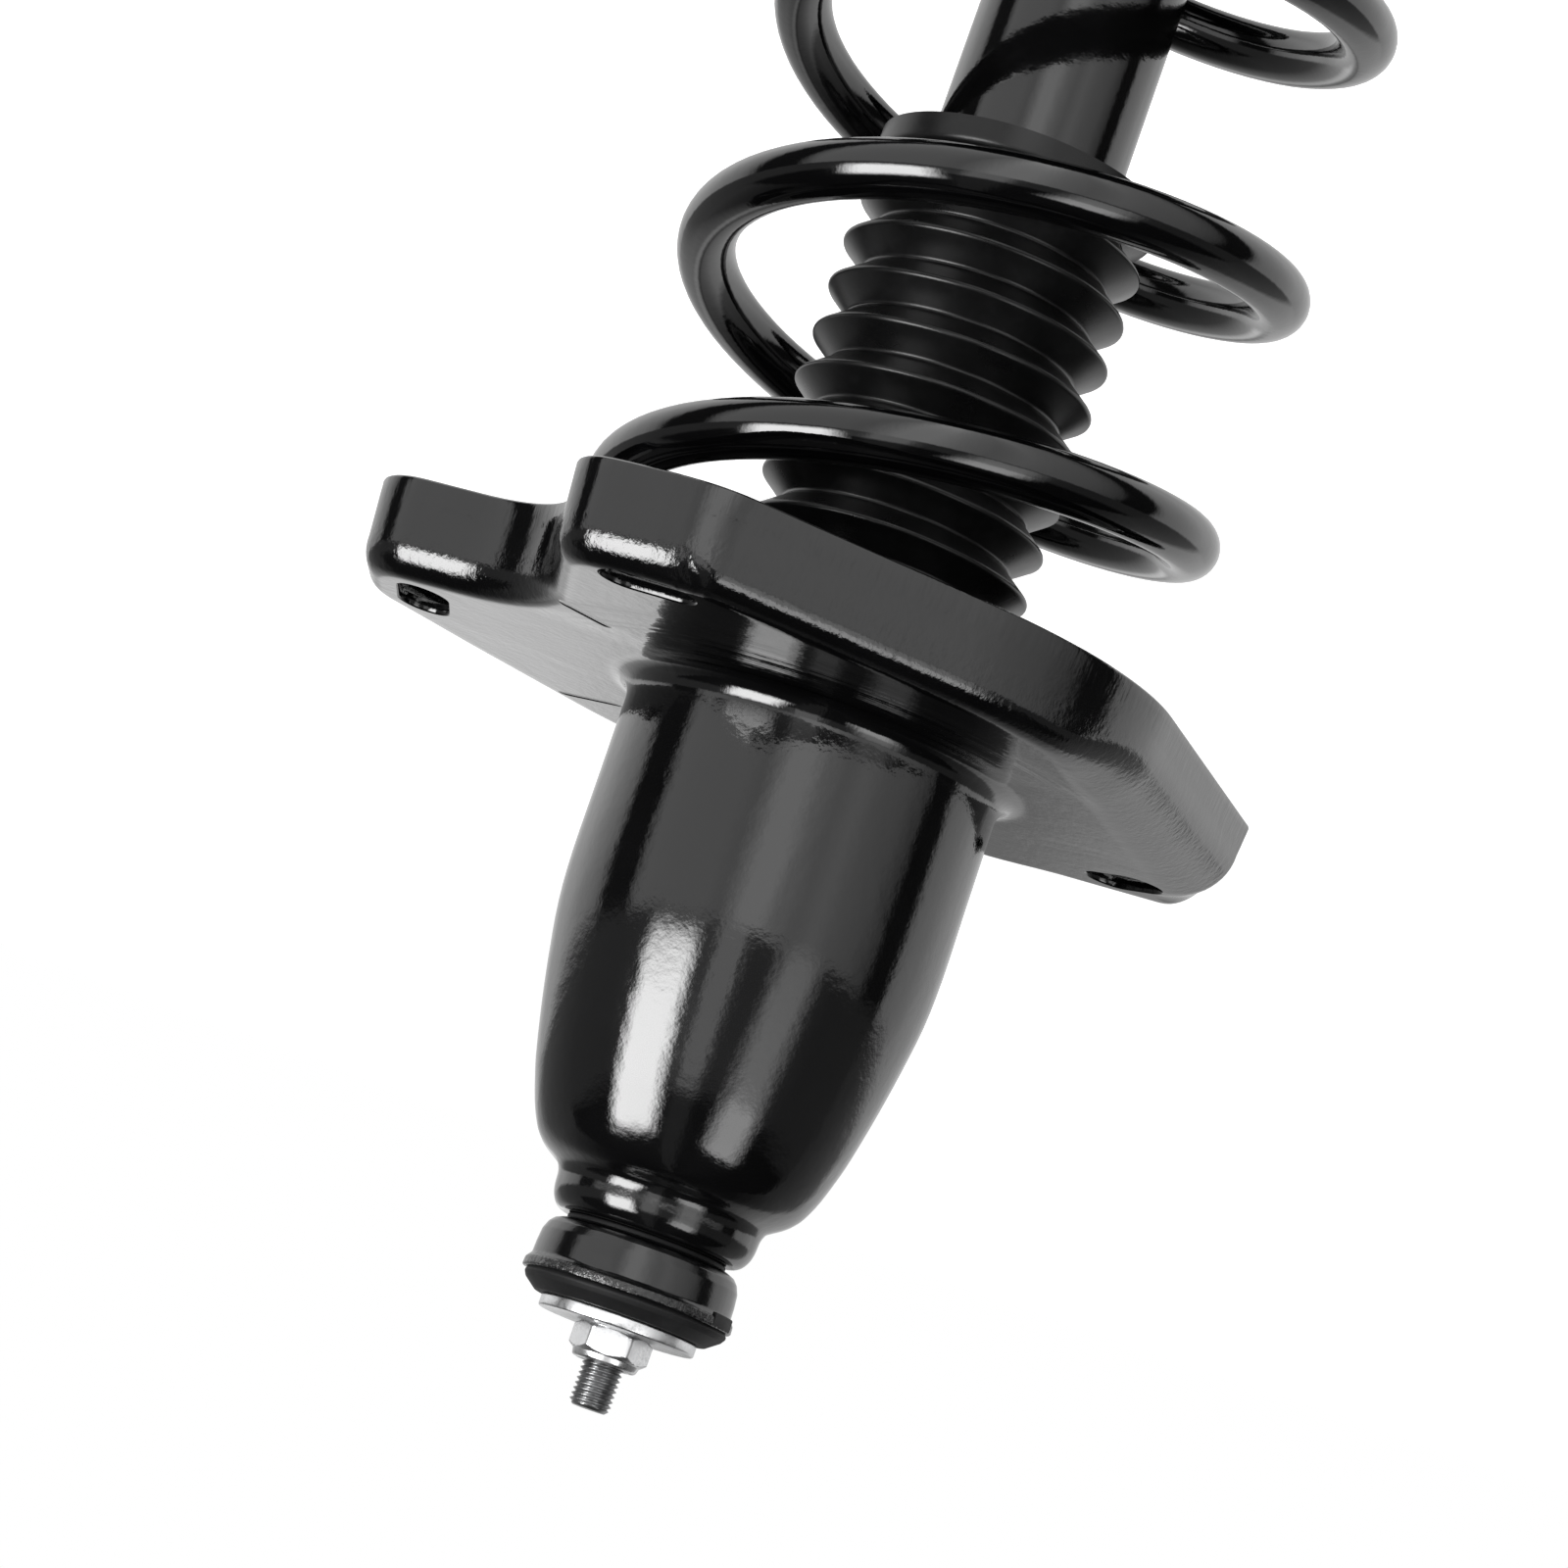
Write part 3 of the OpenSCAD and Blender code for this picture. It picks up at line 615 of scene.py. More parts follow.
def rim_loop(d, steps=16):
    """The tray outline inset by d, as points with the same count whatever d is."""
    pts = [np.array(p[:2], float) for p in RIM]
    n = len(pts)

    def inward(a, b):
        u = (b - a) / np.linalg.norm(b - a)
        return np.array((u[1], -u[0]))

    moved = []
    for i in range(n):
        n1, n2 = inward(pts[i - 1], pts[i]), inward(pts[i], pts[(i + 1) % n])
        moved.append(pts[i] + d * (n1 + n2) / (1 + n1 @ n2))
    arcs = []
    for i in range(n):
        a, b, c = moved[i - 1], moved[i], moved[(i + 1) % n]
        u, v = (a - b) / np.linalg.norm(a - b), (c - b) / np.linalg.norm(c - b)
        turn = -u[0] * v[1] + u[1] * v[0]
        r = max(RIM[i][2] - d, 0.6) if turn < 0 else RIM[i][2] + d
        if i == 8:
            # the right lobe's tip is sharp at the rim's edge and soft near the face
            f = moved[i + 2] - c
            taken = max(RIM[i + 1][2] - d, 0.6) / math.tan(math.acos(float(-v @ f / np.linalg.norm(f))) / 2)
            r = min(3 + 0.45 * d, (np.linalg.norm(c - b) - taken) * math.tan(math.acos(float(u @ v)) / 2))
        half = math.acos(float(np.clip(u @ v, -1, 1))) / 2
        q = r / math.tan(half)
        m_ = b + (u + v) / np.linalg.norm(u + v) * (r / math.sin(half))
        s, e = b + u * q, b + v * q
        a0, a1 = math.atan2(*(s - m_)[::-1]), math.atan2(*(e - m_)[::-1])
        da = (a1 - a0 + math.pi) % (2 * math.pi) - math.pi
        arcs.append([m_ + r * np.array((math.cos(a0 + da * k / steps), math.sin(a0 + da * k / steps)))
                     for k in range(steps + 1)])
    out = []
    for i in range(n):
        out += arcs[i]
        s, e = arcs[i][-1], arcs[(i + 1) % n][0]
        between = BETWEEN[i]
        out += [s + (e - s) * k / between for k in range(1, between)]
    return np.array(out)


BELL_OUT = [(19, 125.5), (21.3, 125.4), (22.7, 124.7), (23.6, 123.7), (24.25, 122.5), (24.6, 121.4), (24.82, 120.2),
            (24.93, 118.8), (25.05, 117.4), (25.4, 116.2), (25.97, 115.2), (27.2, 114.3), (29.2, 113), (31.0, 111.5),
            (32.7, 109.5), (34.1, 107), (35.6, 103.6), (37.5, 98), (39.2, 92), (41.75, 80.5), (43.9, 69), (45.7, 57),
            (46.4, 45), (46.4, 28), (46.4, 16), (46.4, 9), (46.42, 6.5), (46.47, 5.2), (46.62, 4.2), (46.95, 3.15),
            (47.5, 2.15), (48.4, 1.2), (49.7, 0.45), (51.3, 0.1), (52.8, 0), (55, 0)]
BELL_IN = [(55, -3), (53, -3), (51, -2.6), (48.2, -1.2), (46.2, 1), (45, 4), (44.3, 8), (43.9, 14), (43.8, 22),
           (43.8, 45), (43.1, 57), (41.3, 68.8), (39.2, 80), (36.7, 91), (35, 97), (33.2, 102.3), (31.8, 105.3),
           (30.4, 107.6), (28.6, 109.3), (26.6, 110.5), (24.6, 111.6), (23.3, 113), (22.6, 115), (22.3, 117),
           (22.3, 120), (22, 121.8), (21, 122.8), (19, 123)]


def ease(x, a, b):
    """0 where x is below a, 1 above b, smooth between them."""
    t = np.clip((x - a) / (b - a), 0, 1)
    return t * t * (3 - 2 * t)


def housing():
    table = np.stack([rim_loop(float(d)) for d in range(21)])
    count = table.shape[1]
    each = np.arange(count)
    base = table[0]
    X, Y = base[:, 0], base[:, 1]
    ang = np.arctan2(Y, X)
    unit = np.stack([np.cos(ang), np.sin(ang)], 1)
    flat = lambda xy, z: np.column_stack([xy, np.broadcast_to(np.asarray(z, float), (count,))])
    ring = lambda r, z: flat(unit * r, z)
    # the bell leans a little: its foot stands off the neck's centre line
    off = lambda h: np.array((1.55 * min(max(1 - h / 117, 0), 1), 0.0))
    foot = unit * 55 + off(0)

    def inset(d):
        """The outline inset by d, which may differ from point to point."""
        d = np.clip(np.broadcast_to(np.asarray(d, float), (count,)), 0, 19.99)
        k = d.astype(int)
        f = (d - k)[:, None]
        return table[k, each] * (1 - f) + table[k + 1, each] * f

    # pressed corner between face and wall, width and height: tight along the front, wide round the right lobe
    front = ease(-X, -44, -34) * ease(-Y, 20, 50)
    lobe = ease(-X, 50, 72) * (1 - 0.7 * ease(Y, 40, 60))
    far = ease(Y, 15, 40)
    R = (6.4 - 1.2 * far) * (1 - lobe) + 15.0 * lobe
    H = (8.8 - 2.5 * front - 1.5 * far) * (1 - lobe) + 15.0 * lobe
    draft = lambda z: 1.4 * np.clip((z - RIM_Z) / 15.0, 0, 1)
    shoulder = FLANGE - H
    lean = draft(shoulder)
    # the front lobe's corner puckers where it runs into the front wall
    pucker = np.exp(-((X - 39.5) ** 2 + (Y + 115) ** 2) / (2 * 3.0 ** 2))

    loops = []
    # neck's ledge, neck, bell, fillet into the flange
    loops.append(ring(13.3, 125.5 + FLANGE))
    loops.append(ring(16, 125.5 + FLANGE))
    for r, z in smooth_curve(BELL_OUT, 3):
        loops.append(flat(unit * r + off(z), z + FLANGE))
    # flange face out to the corner
    edge = inset(lean + R)
    for t in (0.12, 0.3, 0.5, 0.7, 0.86, 0.95):
        loops.append(flat(foot * (1 - t) + edge * t, FLANGE))
    k = 14
    for i in range(k + 1):
        a = math.pi / 2 * i / k
        xy = inset(lean + R * (1 - math.sin(a)))
        z = shoulder + H * math.cos(a)
        dent = pucker * math.sin(2 * a) * (0.10 * np.sin(each * 1.1 + 7 * a) + 0.40)
        loops.append(flat(xy - unit * dent[:, None], z - dent))
    for t in (0.15, 0.35, 0.55, 0.8, 1.0):
        z = shoulder * (1 - t) + (RIM_Z + 1.2) * t
        loops.append(flat(inset(draft(z)), z))
    # rolled edge of the rim
    d0 = float(draft(np.array(RIM_Z + 1.2)))
    for i in range(1, 7):
        a = math.pi * i / 6
        loops.append(flat(inset(d0 + 1.5 - 1.5 * math.cos(a)), RIM_Z + 1.2 - 1.2 * math.sin(a)))
    for t in (0.3, 0.6, 1.0):
        z = (RIM_Z + 1.2) * (1 - t) + shoulder * t
        loops.append(flat(inset(SHEET + draft(z)), z))
    for i in range(1, 9):
        a = math.pi / 2 * i / 8
        loops.append(flat(inset(lean + R - (R - SHEET) * math.cos(a)), shoulder + (H - SHEET) * math.sin(a)))
    for t in (0.86, 0.6, 0.35, 0.12):
        loops.append(flat(foot * (1 - t) + edge * t, FLOOR))
    for r, z in smooth_curve(BELL_IN, 2):
        loops.append(flat(unit * r + off(z), z + FLANGE))
    loops.append(ring(13.3, 123 + FLANGE))
    ob = loops_mesh("housing_shell", loops, PAINT)

    # slots, with a small sheared radius at each face
    for x, y, a, l in SLOTS:
        w = SLOT_W
        c, s = math.cos(math.radians(a)), math.sin(math.radians(a))
        cut = []
        for grow, z in ((0.45, FLOOR - 0.6), (0.45, FLOOR - 0.02), (0.16, FLOOR + 0.18), (0.0, FLOOR + 0.45),
                        (0.0, FLANGE - 0.45), (0.16, FLANGE - 0.18), (0.45, FLANGE + 0.02), (0.45, FLANGE + 0.6)):
            pts = []
            for side in (1, -1):
                for j in range(25):
                    t = math.radians(-90 + 180 * j / 24) if side == 1 else math.radians(90 + 180 * j / 24)
                    px = side * (l - w) / 2 + (w / 2 + grow) * math.cos(t)
                    py = (w / 2 + grow) * math.sin(t)
                    pts.append((x + c * px - s * py, y + s * px + c * py, z))
            cut.append(pts)
        tool = loops_mesh("slot_tool", cut, PAINT, closed=False, caps=True)
        mod = ob.modifiers.new("slot", "BOOLEAN")
        mod.operation = "DIFFERENCE"
        mod.solver = "EXACT"
        mod.object = tool
        dg = bpy.context.evaluated_depsgraph_get()
        me = bpy.data.meshes.new_from_object(ob.evaluated_get(dg))
        ob.modifiers.clear()
        old = ob.data
        ob.data = me
        bpy.data.meshes.remove(old)
        bpy.data.objects.remove(tool)
    ob.data.polygons.foreach_set("use_smooth", [True] * len(ob.data.polygons))
    ob.data.set_sharp_from_angle(angle=math.radians(32))
    ob.name = "housing_shell"
    return ob


done(housing(), "top_mount", "mount_housing", slot="black_paint")

# ------------------------------------------------------------------ top bush stack
cup_profile = rounded([
    (14, CUP, 0.4), (20.6, CUP, 1), (22.25, CUP + 0.7, 1), (23.3, CUP + 1.9, 1.2), (24.1, CUP + 3.9, 2),
    (24.4, CUP + 7, 3), (24.5, CUP + 9.9, 1.2), (25.55, CUP + 11.2, 0.9), (25.65, CUP + 13.4, 0.6),
    (24.3, CUP + 13.4, 0.4), (22.7, CUP + 10.4, 1.5), (22.6, CUP + 2, 2.4), (14, CUP + 2, 0.4)], 6)


def cup_wobble(r, z, a):
    lip = np.clip((z - (CUP + 9)) / 3, 0, 1)
    rough = 0.05 * np.sin(43 * a + 2 * z) * np.sin(29 * a) + 0.04 * np.sin(71 * a + 1)
    return (r + lip * (0.09 * np.sin(7 * a + 1) + 0.05 * np.sin(17 * a) + rough),
            z + lip * (0.10 * np.sin(5 * a + 2) + 0.6 * rough))


cup = revolve("bushing_cup_shell", cup_profile, PAINT_CUP, 288, 40, wobble=cup_wobble)
done(cup, "top_mount", "bushing_cup", slot="black_paint")

# folded end of the cup's lip
tab = []
for k in range(9):
    a = math.radians(-90 - 53 - 22 * k / 8)
    lo, hi = CUP + 10.1, CUP + 13.3
    sec = [(24.3, lo), (25.55, lo), (25.75, lo + 0.3), (25.8, hi - 0.3), (25.5, hi), (24.3, hi)]
    tab.append([(r * math.cos(a), r * math.sin(a), z) for r, z in sec])
tab = loops_mesh("cup_lip_tab", tab, RUBBER, closed=False, caps=True, sharp=35)
done(tab, "top_mount", slot="bush_rubber")

top_rubber = rounded([
    (8.05, CUP - 4), (12.9, CUP - 4, 0.3), (12.9, CUP - 1.45), (19.5, CUP - 1.45, 0.5), (19.5, CUP - 0.05, 0.4),
    (13.9, CUP - 0.05), (13.9, CUP + 2.05), (20.8, CUP + 2.05, 1.5), (22.5, CUP + 4.4), (22.6, CUP + 10.3, 0.6),
    (23.6, CUP + 12.4, 0.4), (24.3, CUP + 13.3, 0.4), (24.9, CUP + 14.3, 0.7), (24.1, CUP + 15.6, 0.8),
    (21.1, CUP + 17.9, 0.6), (20.2, CUP + 18.06, 0.2), (8.05, CUP + 18.06)], 5)
rub = revolve("upper_bush", top_rubber, RUBBER, 128, 50,
              wobble=lambda r, z, a: (r + 0.08 * np.sin(3 * a + z), z))
done(rub, "top_mount", "upper_bush_rubber", slot="bush_rubber")

washer = revolve("top_washer_disc", rounded([
    (5.15, WASHER, 0.3), (19.1, WASHER, 0.5), (19.1, WASHER + 3, 0.55), (5.15, WASHER + 3, 0.3)], 4), ZINC, 128, 40)
done(washer, "top_mount", "top_washer", slot="zinc_plate")


def hex_nut(name, z0, af, height, collar, bore, mat, turn=0.0):
    """Hexagon with both corners chamfered, and a crimped collar on top."""
    n = 144
    ang = np.arange(n) * 2 * math.pi / n
    loops = []

    def hex_r(a, inset=0.0):
        a = (a - turn + math.pi / 6) % (math.pi / 3) - math.pi / 6
        # flat of the hexagon with its corner a little rounded
        r = (af / 2 - inset) / np.cos(a)
        return np.minimum(r, af / 2 / math.cos(math.pi / 6) - 0.22 - inset)

    def level(z, cone):
        r = np.minimum(hex_r(ang), cone)
        return np.stack([r * np.cos(ang), r * np.sin(ang), np.full(n, z)], 1)

    corner = af / 2 / math.cos(math.pi / 6)
    loops.append(np.stack([bore * np.cos(ang), bore * np.sin(ang), np.full(n, z0)], 1))
    loops.append(level(z0, af / 2 - 0.1))
    for i in range(6):
        t = i / 5
        loops.append(level(z0 + 0.05 + 0.95 * t, af / 2 - 0.1 + (corner - af / 2 + 0.1) * t))
    for i in range(1, 9):
        loops.append(level(z0 + 1 + (height - 2.4) * i / 8, corner))
    for i in range(1, 9):
        t = i / 8
        loops.append(level(z0 + height - 1.4 + 1.4 * t, corner - (corner - af / 2 + 0.25) * t ** 1.25))
    if collar:
        prof = rounded([(af / 2 - 0.3, z0 + height), (8.15, z0 + height + 0.1, 0.5), (7.75, z0 + height + 1.7, 0.9),
                        (6.3, z0 + height + 1.9, 0.6), (5.4, z0 + height + 1.3, 0.3), (bore, z0 + height + 0.6)],
                       5, closed=False)
        for r, z in prof[1:]:
            pinch = 1 + 0.018 * np.cos(3 * ang) * max(0, (z - z0 - height) / 2)
            loops.append(np.stack([r * pinch * np.cos(ang), r * pinch * np.sin(ang), np.full(n, z)], 1))
    else:
        loops.append(np.stack([bore * 1.12 * np.cos(ang), bore * 1.12 * np.sin(ang), np.full(n, z0 + height)], 1))
        loops.append(np.stack([bore * np.cos(ang), bore * np.sin(ang), np.full(n, z0 + height - 0.6)], 1))
    return loops_mesh(name, loops, mat, True, 28)


nut = hex_nut("top_nut_body", WASHER + 3, 17, 6.4, True, 5.05, ZINC, math.radians(-90 + 4))
done(nut, "top_mount", "top_nut", slot="zinc_plate")


def threaded(z_top, z_bottom, r, pitch, chamfer=1.0):
    """Right-hand thread: one continuous ridge, run out at both ends."""
    n = 96
    depth = 0.613 * pitch
    rows = []
    step = pitch / 12
    k = int(round((z_top - z_bottom) / step))
    ang = np.arange(n) * 2 * math.pi / n
    for j in range(k + 1):
        z = z_bottom + (z_top - z_bottom) * j / k
        ph = ((z / pitch) - ang / (2 * math.pi)) % 1.0
        tri = np.abs(2 * ph - 1)
        tri = np.clip((tri - 0.10) / 0.78, 0, 1)
        rr = r - depth * (1 - tri)
        end = r - max(0.0, (z - (z_top - chamfer)) * 1.05) - max(0.0, ((z_bottom + 0.5) - z) * 1.6)
        rr = np.minimum(rr, end)
        rows.append(np.stack([rr * np.cos(ang), rr * np.sin(ang), np.full(n, z)], 1))
    rows.append(rows[-1] * np.array((0.6, 0.6, 1)) + np.array((0, 0, 0.02)))
    rows.append(rows[-2] * np.array((0.15, 0.15, 1)) + np.array((0, 0, 0.02)))
    return rows


rows = []
RODR = 6.98
n = 72
ang72 = np.arange(n) * 2 * math.pi / n
cyl = lambda r, z: np.stack([r * np.cos(ang72), r * np.sin(ang72), np.full(n, float(z))], 1)
rows += [cyl(3.0, SHOULDER - 296.5), cyl(4.6, SHOULDER - 296.5), cyl(4.98, SHOULDER - 296)]
rows += [cyl(4.98, 262), cyl(RODR, 262.02), cyl(RODR, 300), cyl(RODR, 400), cyl(RODR, 500), cyl(RODR, SHOULDER - 0.4),
         cyl(RODR - 0.4, SHOULDER - 0.02), cyl(4.98, SHOULDER)]
rows += [cyl(4.98, 560), cyl(4.98, 568.5)]
shaft = loops_mesh("rod_shaft", rows, CHROME, closed=False, caps=True, sharp=35)
done(shaft, "top_mount", "piston_rod", slot="hard_chrome")
stud = loops_mesh("rod_thread", threaded(TIP, 568.45, 4.97, 1.25), THREAD, closed=False, caps=True, sharp=50)
done(stud, "top_mount", "piston_rod", slot="bare_steel")

# ------------------------------------------------------------------ boot
PITCH_B, CREST, VALLEY, CRESTS, WALL = 12.2, 36.1, 28.6, 10, 1.5
LOW = CUFF + 16.7


def boot():
    pts = [(56, FLOOR, 0), (56, FLOOR - 2.5, 0.8), (30.2, FLOOR - 2.6, 1.2), (29.8, LOW + PITCH_B * (CRESTS - 0.2), 0.8)]
    for k in range(CRESTS - 1, -1, -1):
        z = LOW + k * PITCH_B
        if k < CRESTS - 1:
            pts.append((VALLEY, z + PITCH_B / 2, 0.9))
        else:
            pts.append((VALLEY, z + PITCH_B / 2, 0.7))
        pts.append((CREST + 0.25, z, 1.0))
    pts += [(VALLEY, LOW - PITCH_B / 2, 1.0), (35.9, CUFF + 6.4, 2.6), (35.9, CUFF, 0.6)]
    outer = rounded(pts, 5, closed=False)
    inner = rounded([(p[0] - WALL * (1.25 if 3 < i < len(pts) - 2 else 1.0), p[1], p[2] if len(p) > 2 else 0)
                     for i, p in enumerate(pts)][3:], 3, closed=False)
    prof = outer + inner[::-1] + [(29.8 - WALL, FLOOR)]

    def wob(r, z, a):
        soft = 0.16 * np.sin(2 * a + z * 0.13) + 0.10 * np.sin(5 * a - z * 0.31)
        return r + soft * (np.abs(r) < 40), z + 0.14 * np.sin(2 * a + z * 0.05) * (z < FLOOR - 6) * (z > CUFF + 3)
    return revolve("boot_bellows", prof, BOOT, 176, 60, wobble=wob)


done(boot(), "top_mount", "dust_boot", "boot_collar", slot="boot_plastic")

# ------------------------------------------------------------------ spring
START, TURNS, DROP = 0.0, 5.35, 280.08


def ramp_at(t, c, h):
    return np.where(t < c - h, 0, np.where(t > c + h, t - c, (t - c + h) ** 2 / (4 * h)))


def fall(t):
    return 66 * ramp_at(t, 0.58, 0.28) + 6 * ramp_at(t, 2.5, 0.3) - 72 * ramp_at(t, 4.63, 0.28)


def lift(t):
    """How far the free coils rise out of the helix on one side."""
    grow = 1.6 * (t - 0.5) if 0.5 < t < 3.6 else 5.51 * (4.5 - t) if 3.6 <= t < 4.5 else 0.0
    return grow * (math.sin(math.pi * (t - 0.1)) ** 2 - 0.15)


def drift(t):
    """How far they lie off the strut's line, towards -X."""
    return 2.1 * math.sin(math.pi * (t - 1.3) / 3.2) ** 2 if 1.3 < t < 4.5 else 0.0


def spring():
    sides, per = 32, 84
    k = int((TURNS - START) * per)
    ts = np.linspace(START, TURNS, k + 1)
    loops, weights = [], []
    ang = np.arange(sides) * 2 * math.pi / sides

    def centre(t):
        a = -2 * math.pi * t
        return np.array((COIL_R * math.cos(a) - drift(t), COIL_R * math.sin(a),
                         COIL_TOP - float(fall(np.array(t))) + lift(t)))

    ends = [(0.0, 0.30), (0.004, 0.72), (0.012, 0.93), (0.028, 1.0)]
    for j, t in enumerate(ts):
        c = centre(t)
        d = centre(t + 1e-4) - centre(t - 1e-4)
        u = d / np.linalg.norm(d)
        er = np.array((math.cos(-2 * math.pi * t), math.sin(-2 * math.pi * t), 0))
        eb = np.cross(u, er)
        w = float(fall(np.array(t))) / DROP
        r = WIRE_R
        size = [1.0]
        if j == 0:
            for back, f in ((0.0, 0.5), (0.25, 0.86), (0.8, 0.97)):
                loops.append(c + u * back + r * f * (np.cos(ang)[:, None] * er + np.sin(ang)[:, None] * eb))
                weights += [w] * sides
            continue
        if j == k:
            for back, f in ((-0.8, 0.97), (-0.25, 0.86), (0.0, 0.5)):
                loops.append(c + u * back + r * f * (np.cos(ang)[:, None] * er + np.sin(ang)[:, None] * eb))
                weights += [w] * sides
            continue
        loops.append(c + r * (np.cos(ang)[:, None] * er + np.sin(ang)[:, None] * eb))
        weights += [w] * sides
    ob = loops_mesh("coil_spring_wire", loops, PAINT_SPRING, closed=False, caps=True, sharp=50)
    return ob, np.array(weights, np.float32)


coil, coil_w = spring()
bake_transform(coil)
# each ring of the wire gets a single weight, so that it could move as one and keep its section round; the weights are
# not applied to the mesh
np.clip(coil_w, 0, 1)
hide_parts("coil_spring")

groove = [(COIL_R + 7.35 * math.cos(math.radians(a)), COIL_TOP + 7.35 * math.sin(math.radians(a)))
          for a in range(140, 30, -10)]
up_ins = [(57.1, FLOOR), (57.1, FLOOR - 2.6), (50.2, FLOOR - 2.6), (50.2, FLOOR - 5.6), (51, FLOOR - 6.1),
          (57.1, FLOOR - 7.4), (61.4, FLOOR - 7.5)] + groove + [(74.6, FLOOR - 7.5), (79.0, FLOOR - 7.3), (79.5, FLOOR - 6.8), (79.5, FLOOR)]
done(revolve("upper_spring_pad", up_ins, RUBBER, 144, 40), "top_mount", "upper_spring_insulator", slot="bush_rubber")
LOWC = COIL_TOP - DROP
groove = [(COIL_R + 7.35 * math.cos(math.radians(a)), LOWC + 7.35 * math.sin(math.radians(a)))
          for a in range(-30, -151, -10)]
lo_ins = [(55.3, SEAT), (79.6, SEAT), (79.9, SEAT + 0.4), (79.9, SEAT + 5.6), (79.4, SEAT + 6), (74.6, SEAT + 6)] + groove + [
    (61.4, SEAT + 6), (55.8, SEAT + 6), (55.2, SEAT + 5.4), (55.1, SEAT + 0.3)]
done(revolve("lower_spring_pad", lo_ins, RUBBER, 144, 40), "damper_body", "lower_spring_insulator", slot="bush_rubber")

# ------------------------------------------------------------------ damper tube, seat and eye
tube = revolve("damper_tube", rounded([
    (22, CAP), (24, CAP, 0.2), (24, 120), (24, 200), (24, 260), (24, TUBE_TOP, 2.4), (15, TUBE_TOP, 0.4), (15, TUBE_TOP - 2, 0.4),
    (22, TUBE_TOP - 2)], 6), PAINT_TUBE, 128, 40)
done(tube, "damper_body", "outer_tube", slot="black_paint")

seat = revolve("lower_seat_pan", rounded([
    (24.02, SEAT - 24, 0.2), (27, SEAT - 24, 0.8), (27, SEAT - 9, 4), (33, SEAT - 3, 5), (52, SEAT - 3, 0), (53.5, SEAT - 2.9, 1),
    (77, SEAT - 3, 6), (84.5, SEAT + 1, 6), (84.5, SEAT + 10, 1.1), (82, SEAT + 10, 1.1), (82, SEAT + 2.6, 3.4),
    (76, SEAT, 3), (33, SEAT, 4), (24.02, SEAT + 2, 0.3)], 7), PAINT, 160, 40)
done(seat, "damper_body", "lower_spring_seat", "seat_collar", slot="black_paint")

bead = [((25.4) * math.cos(a), (25.4) * math.sin(a), SEAT - 24.3 + 0.25 * math.sin(3 * a)) for a in np.linspace(0, 2 * math.pi, 180, endpoint=False)]
done(tube_along("seat_weld", bead, 1.7, PAINT, 14, True, 0.07), "damper_body", slot="black_paint")


def bottom_cap():
    n = 160
    ang = np.arange(n) * 2 * math.pi / n
    c, s = np.cos(ang), np.sin(ang)
    loops = []

    def ring(r, z):
        return np.stack([r * c, r * s, z if isinstance(z, np.ndarray) else np.full(n, float(z))], 1)

    def on_eye(r):
        y = r * s
        return np.sqrt(np.maximum(22.02 ** 2 - y ** 2, 100))

    def low(r, z):
        """No lower than the eye ring, where it lies under this radius."""
        return np.maximum(np.full(n, float(z)), on_eye(r) * (np.abs(r * s) < 21.9))
    loops.append(ring(0.8, np.full(n, 22.02)))
    for r in (5, 9, 13, 16):
        loops.append(ring(r, on_eye(r)))
    loops.append(ring(18.6, np.maximum(on_eye(18.6), 15.2)))
    loops.append(ring(19.4, low(19.4, 15.3)))
    loops.append(ring(21.2, low(21.2, 17.8)))
    loops.append(ring(22.8, np.maximum(low(22.8, 20.0), 20.0)))
    for r, z in ((23.7, 21.8), (24.0, 23.4), (24.0, 28), (24.0, CAP - 0.3), (23.8, CAP), (22.1, CAP), (21.9, CAP + 0.4), (21.9, CAP + 3), (4, CAP + 3), (0.8, CAP + 3)):
        loops.append(ring(r, z))
    return loops_mesh("tube_end_cap", loops, PAINT, closed=False, caps=True, sharp=45)


done(bottom_cap(), "damper_body", "tube_bottom_cap", slot="black_paint")
ring_bead = [(24.05 * math.cos(a), 24.05 * math.sin(a), CAP + 0.2 * math.sin(2 * a)) for a in np.linspace(0, 2 * math.pi, 170, endpoint=False)]
done(tube_along("cap_weld", ring_bead, 1.15, PAINT, 12, True, 0.08), "damper_body", slot="black_paint")


def eye_weld_path():
    """Where the end cap meets the eye: along both sides of the saddle and across the eye's two ends."""
    side = [(17.5, 11.8), (15, 13.9), (12.6, 15.2), (10.1, 16.1), (5, 16.2), (0, 16.2)]
    half = side + [(-x, y) for x, y in side[-2::-1]]
    flat_pts = half + [(-17.9, 6), (-17.9, 0), (-17.9, -6)] + [(-x, -y) for x, y in half] + [
        (17.9, -6), (17.9, 0), (17.9, 6)]
    p = [np.array((x, y, math.sqrt(22.0 ** 2 - y * y) + 0.1)) for x, y in flat_pts]
    fine = smooth_curve(p + [p[0]], 7)[:-1]
    return fine


done(tube_along("eye_weld", eye_weld_path(), 1.7, PAINT, 14, True, 0.08), "damper_body", slot="black_paint")


def along_x(ob):
    """Turns a piece made about Z so that its axis lies along X."""
    ob.data.transform(Matrix.Rotation(math.radians(90), 4, "Y"))
    return ob


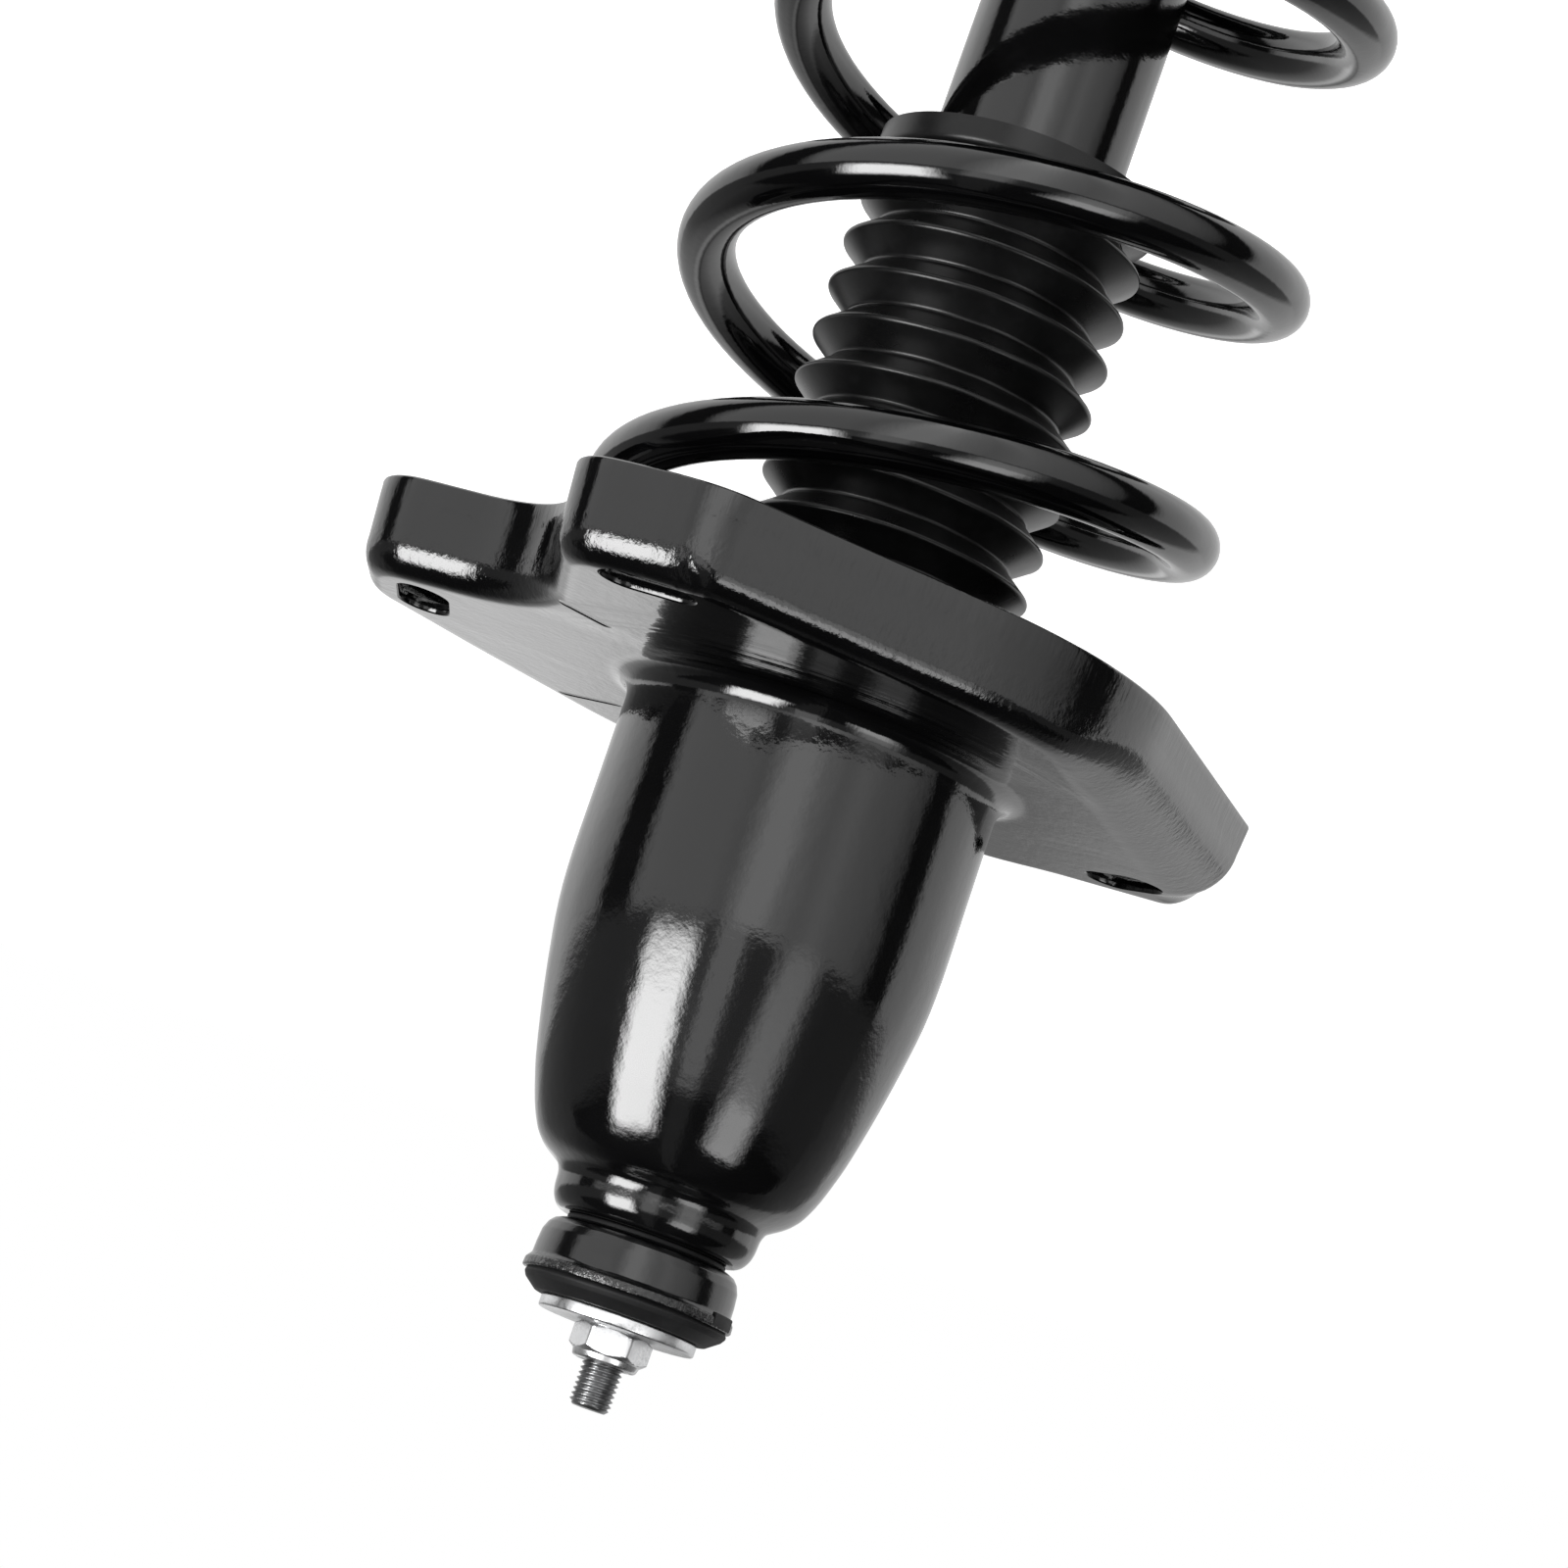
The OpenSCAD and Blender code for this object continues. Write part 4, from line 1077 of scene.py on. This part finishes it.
eye = along_x(revolve("eye_ring_body", rounded([
    (18.52, -18, 0.6), (22, -18, 0.7), (22, 18, 0.7), (18.52, 18, 0.6)], 5), PAINT, 128, 40))
done(eye, "damper_body", "eye_ring", slot="black_paint")
osl = along_x(revolve("eye_outer_can", rounded([
    (17.02, -18.2, 0.3), (18.5, -18.2, 0.4), (18.5, 18.2, 0.4), (17.02, 18.2, 0.3)], 4), STEEL, 128, 40))
done(osl, "damper_body", "eye_outer_sleeve", slot="bare_steel")
erub = along_x(revolve("eye_bush", rounded([
    (9.62, -19.4, 0.3), (13, -19.4, 1.2), (15.2, -17.2, 1.4), (17.0, -17.0, 0.3), (17.0, 17.0, 0.3), (15.2, 17.2, 1.4),
    (13, 19.4, 1.2), (9.62, 19.4, 0.3)], 5), RUBBER, 112, 50))
done(erub, "damper_body", "eye_rubber", slot="bush_rubber")
isl = along_x(revolve("eye_inner_tube", rounded([
    (6.1, -21, 0.6), (9.55, -21, 0.5), (9.55, 21, 0.5), (6.1, 21, 0.6)], 4), ZINC, 96, 40))
done(isl, "eye_sleeve", "eye_inner_sleeve", slot="zinc_plate")

stop = [(7.1, 528.5), (7.1, 447), (9.5, 443.1), (12.5, 443.1), (14, 445)]
h = 85.5
for k in range(5):
    for s8 in range(12):
        z = 6 + (h - 16) * (k + s8 / 12) / 5
        stop.append((15.5 + 4 * (z / h) + 2.2 * math.sin(math.radians(s8 * 30 - 90)), 443 + z))
stop += [(19.4, 443 + h - 9), (20, 443 + h - 8), (20, 528.4)]
done(revolve("bump_stop_foam", stop, FOAM, 96, 50), "top_mount", "bump_stop", slot="urethane")

# ------------------------------------------------------------------ finishes of the pieces kept from the frame
FINISH = {"lower_bush_rubber": RUBBER, "bush_inner_sleeve": STEEL, "lower_washer": ZINC, "rebound_stop": STEEL,
          "rebound_cushion": RUBBER, "check_valve_plate": STEEL, "piston": SINTER, "piston_band": PTFE,
          "rebound_valve_discs": STEEL, "piston_nut": ZINC, "tube_cap": ZINC, "rod_seal": RUBBER, "rod_guide": SINTER,
          "guide_bush": PTFE, "pressure_tube": STEEL, "base_valve": SINTER}
for name, mat in FINISH.items():
    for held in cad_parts[name].material_slots:
        held.material = mat

# ------------------------------------------------------------------ floor
bm = bmesh.new()
bmesh.ops.create_circle(bm, cap_ends=True, cap_tris=False, segments=96, radius=6.0)
me = bpy.data.meshes.new("floor")
bm.to_mesh(me)
bm.free()
floor = bpy.data.objects.new("floor", me)
floor.location = (0, 0, CAD_LO[2] - 0.002)
scene.collection.objects.link(floor)
fl = Mat("pale_floor")
fl.b.inputs["Base Color"].default_value = (0.85, 0.85, 0.85, 1)
fl.b.inputs["Roughness"].default_value = 0.8
fl.b.inputs["Specular IOR Level"].default_value = 0.1
glow = fl.add("ShaderNodeEmission")
glow.inputs["Strength"].default_value = 0.85
both = fl.add("ShaderNodeAddShader")
cast = fl.add("ShaderNodeEmission")
pick = fl.add("ShaderNodeMixShader")
fl.link(surroundings(fl.nt, fl.co, True), cast.inputs["Strength"])
fl.link(fl.b.outputs[0], both.inputs[0])
fl.link(glow.outputs[0], both.inputs[1])
fl.link(fl.add("ShaderNodeLightPath").outputs["Is Camera Ray"], pick.inputs[0])
fl.link(cast.outputs[0], pick.inputs[1])
fl.link(both.outputs[0], pick.inputs[2])
fl.link(pick.outputs[0], fl.out.inputs["Surface"])
me.materials.append(fl.mat)
floor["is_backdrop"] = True

lo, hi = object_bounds()
{"cad": [list(CAD_LO), list(CAD_HI)], "visual": [list(lo), list(hi)]}
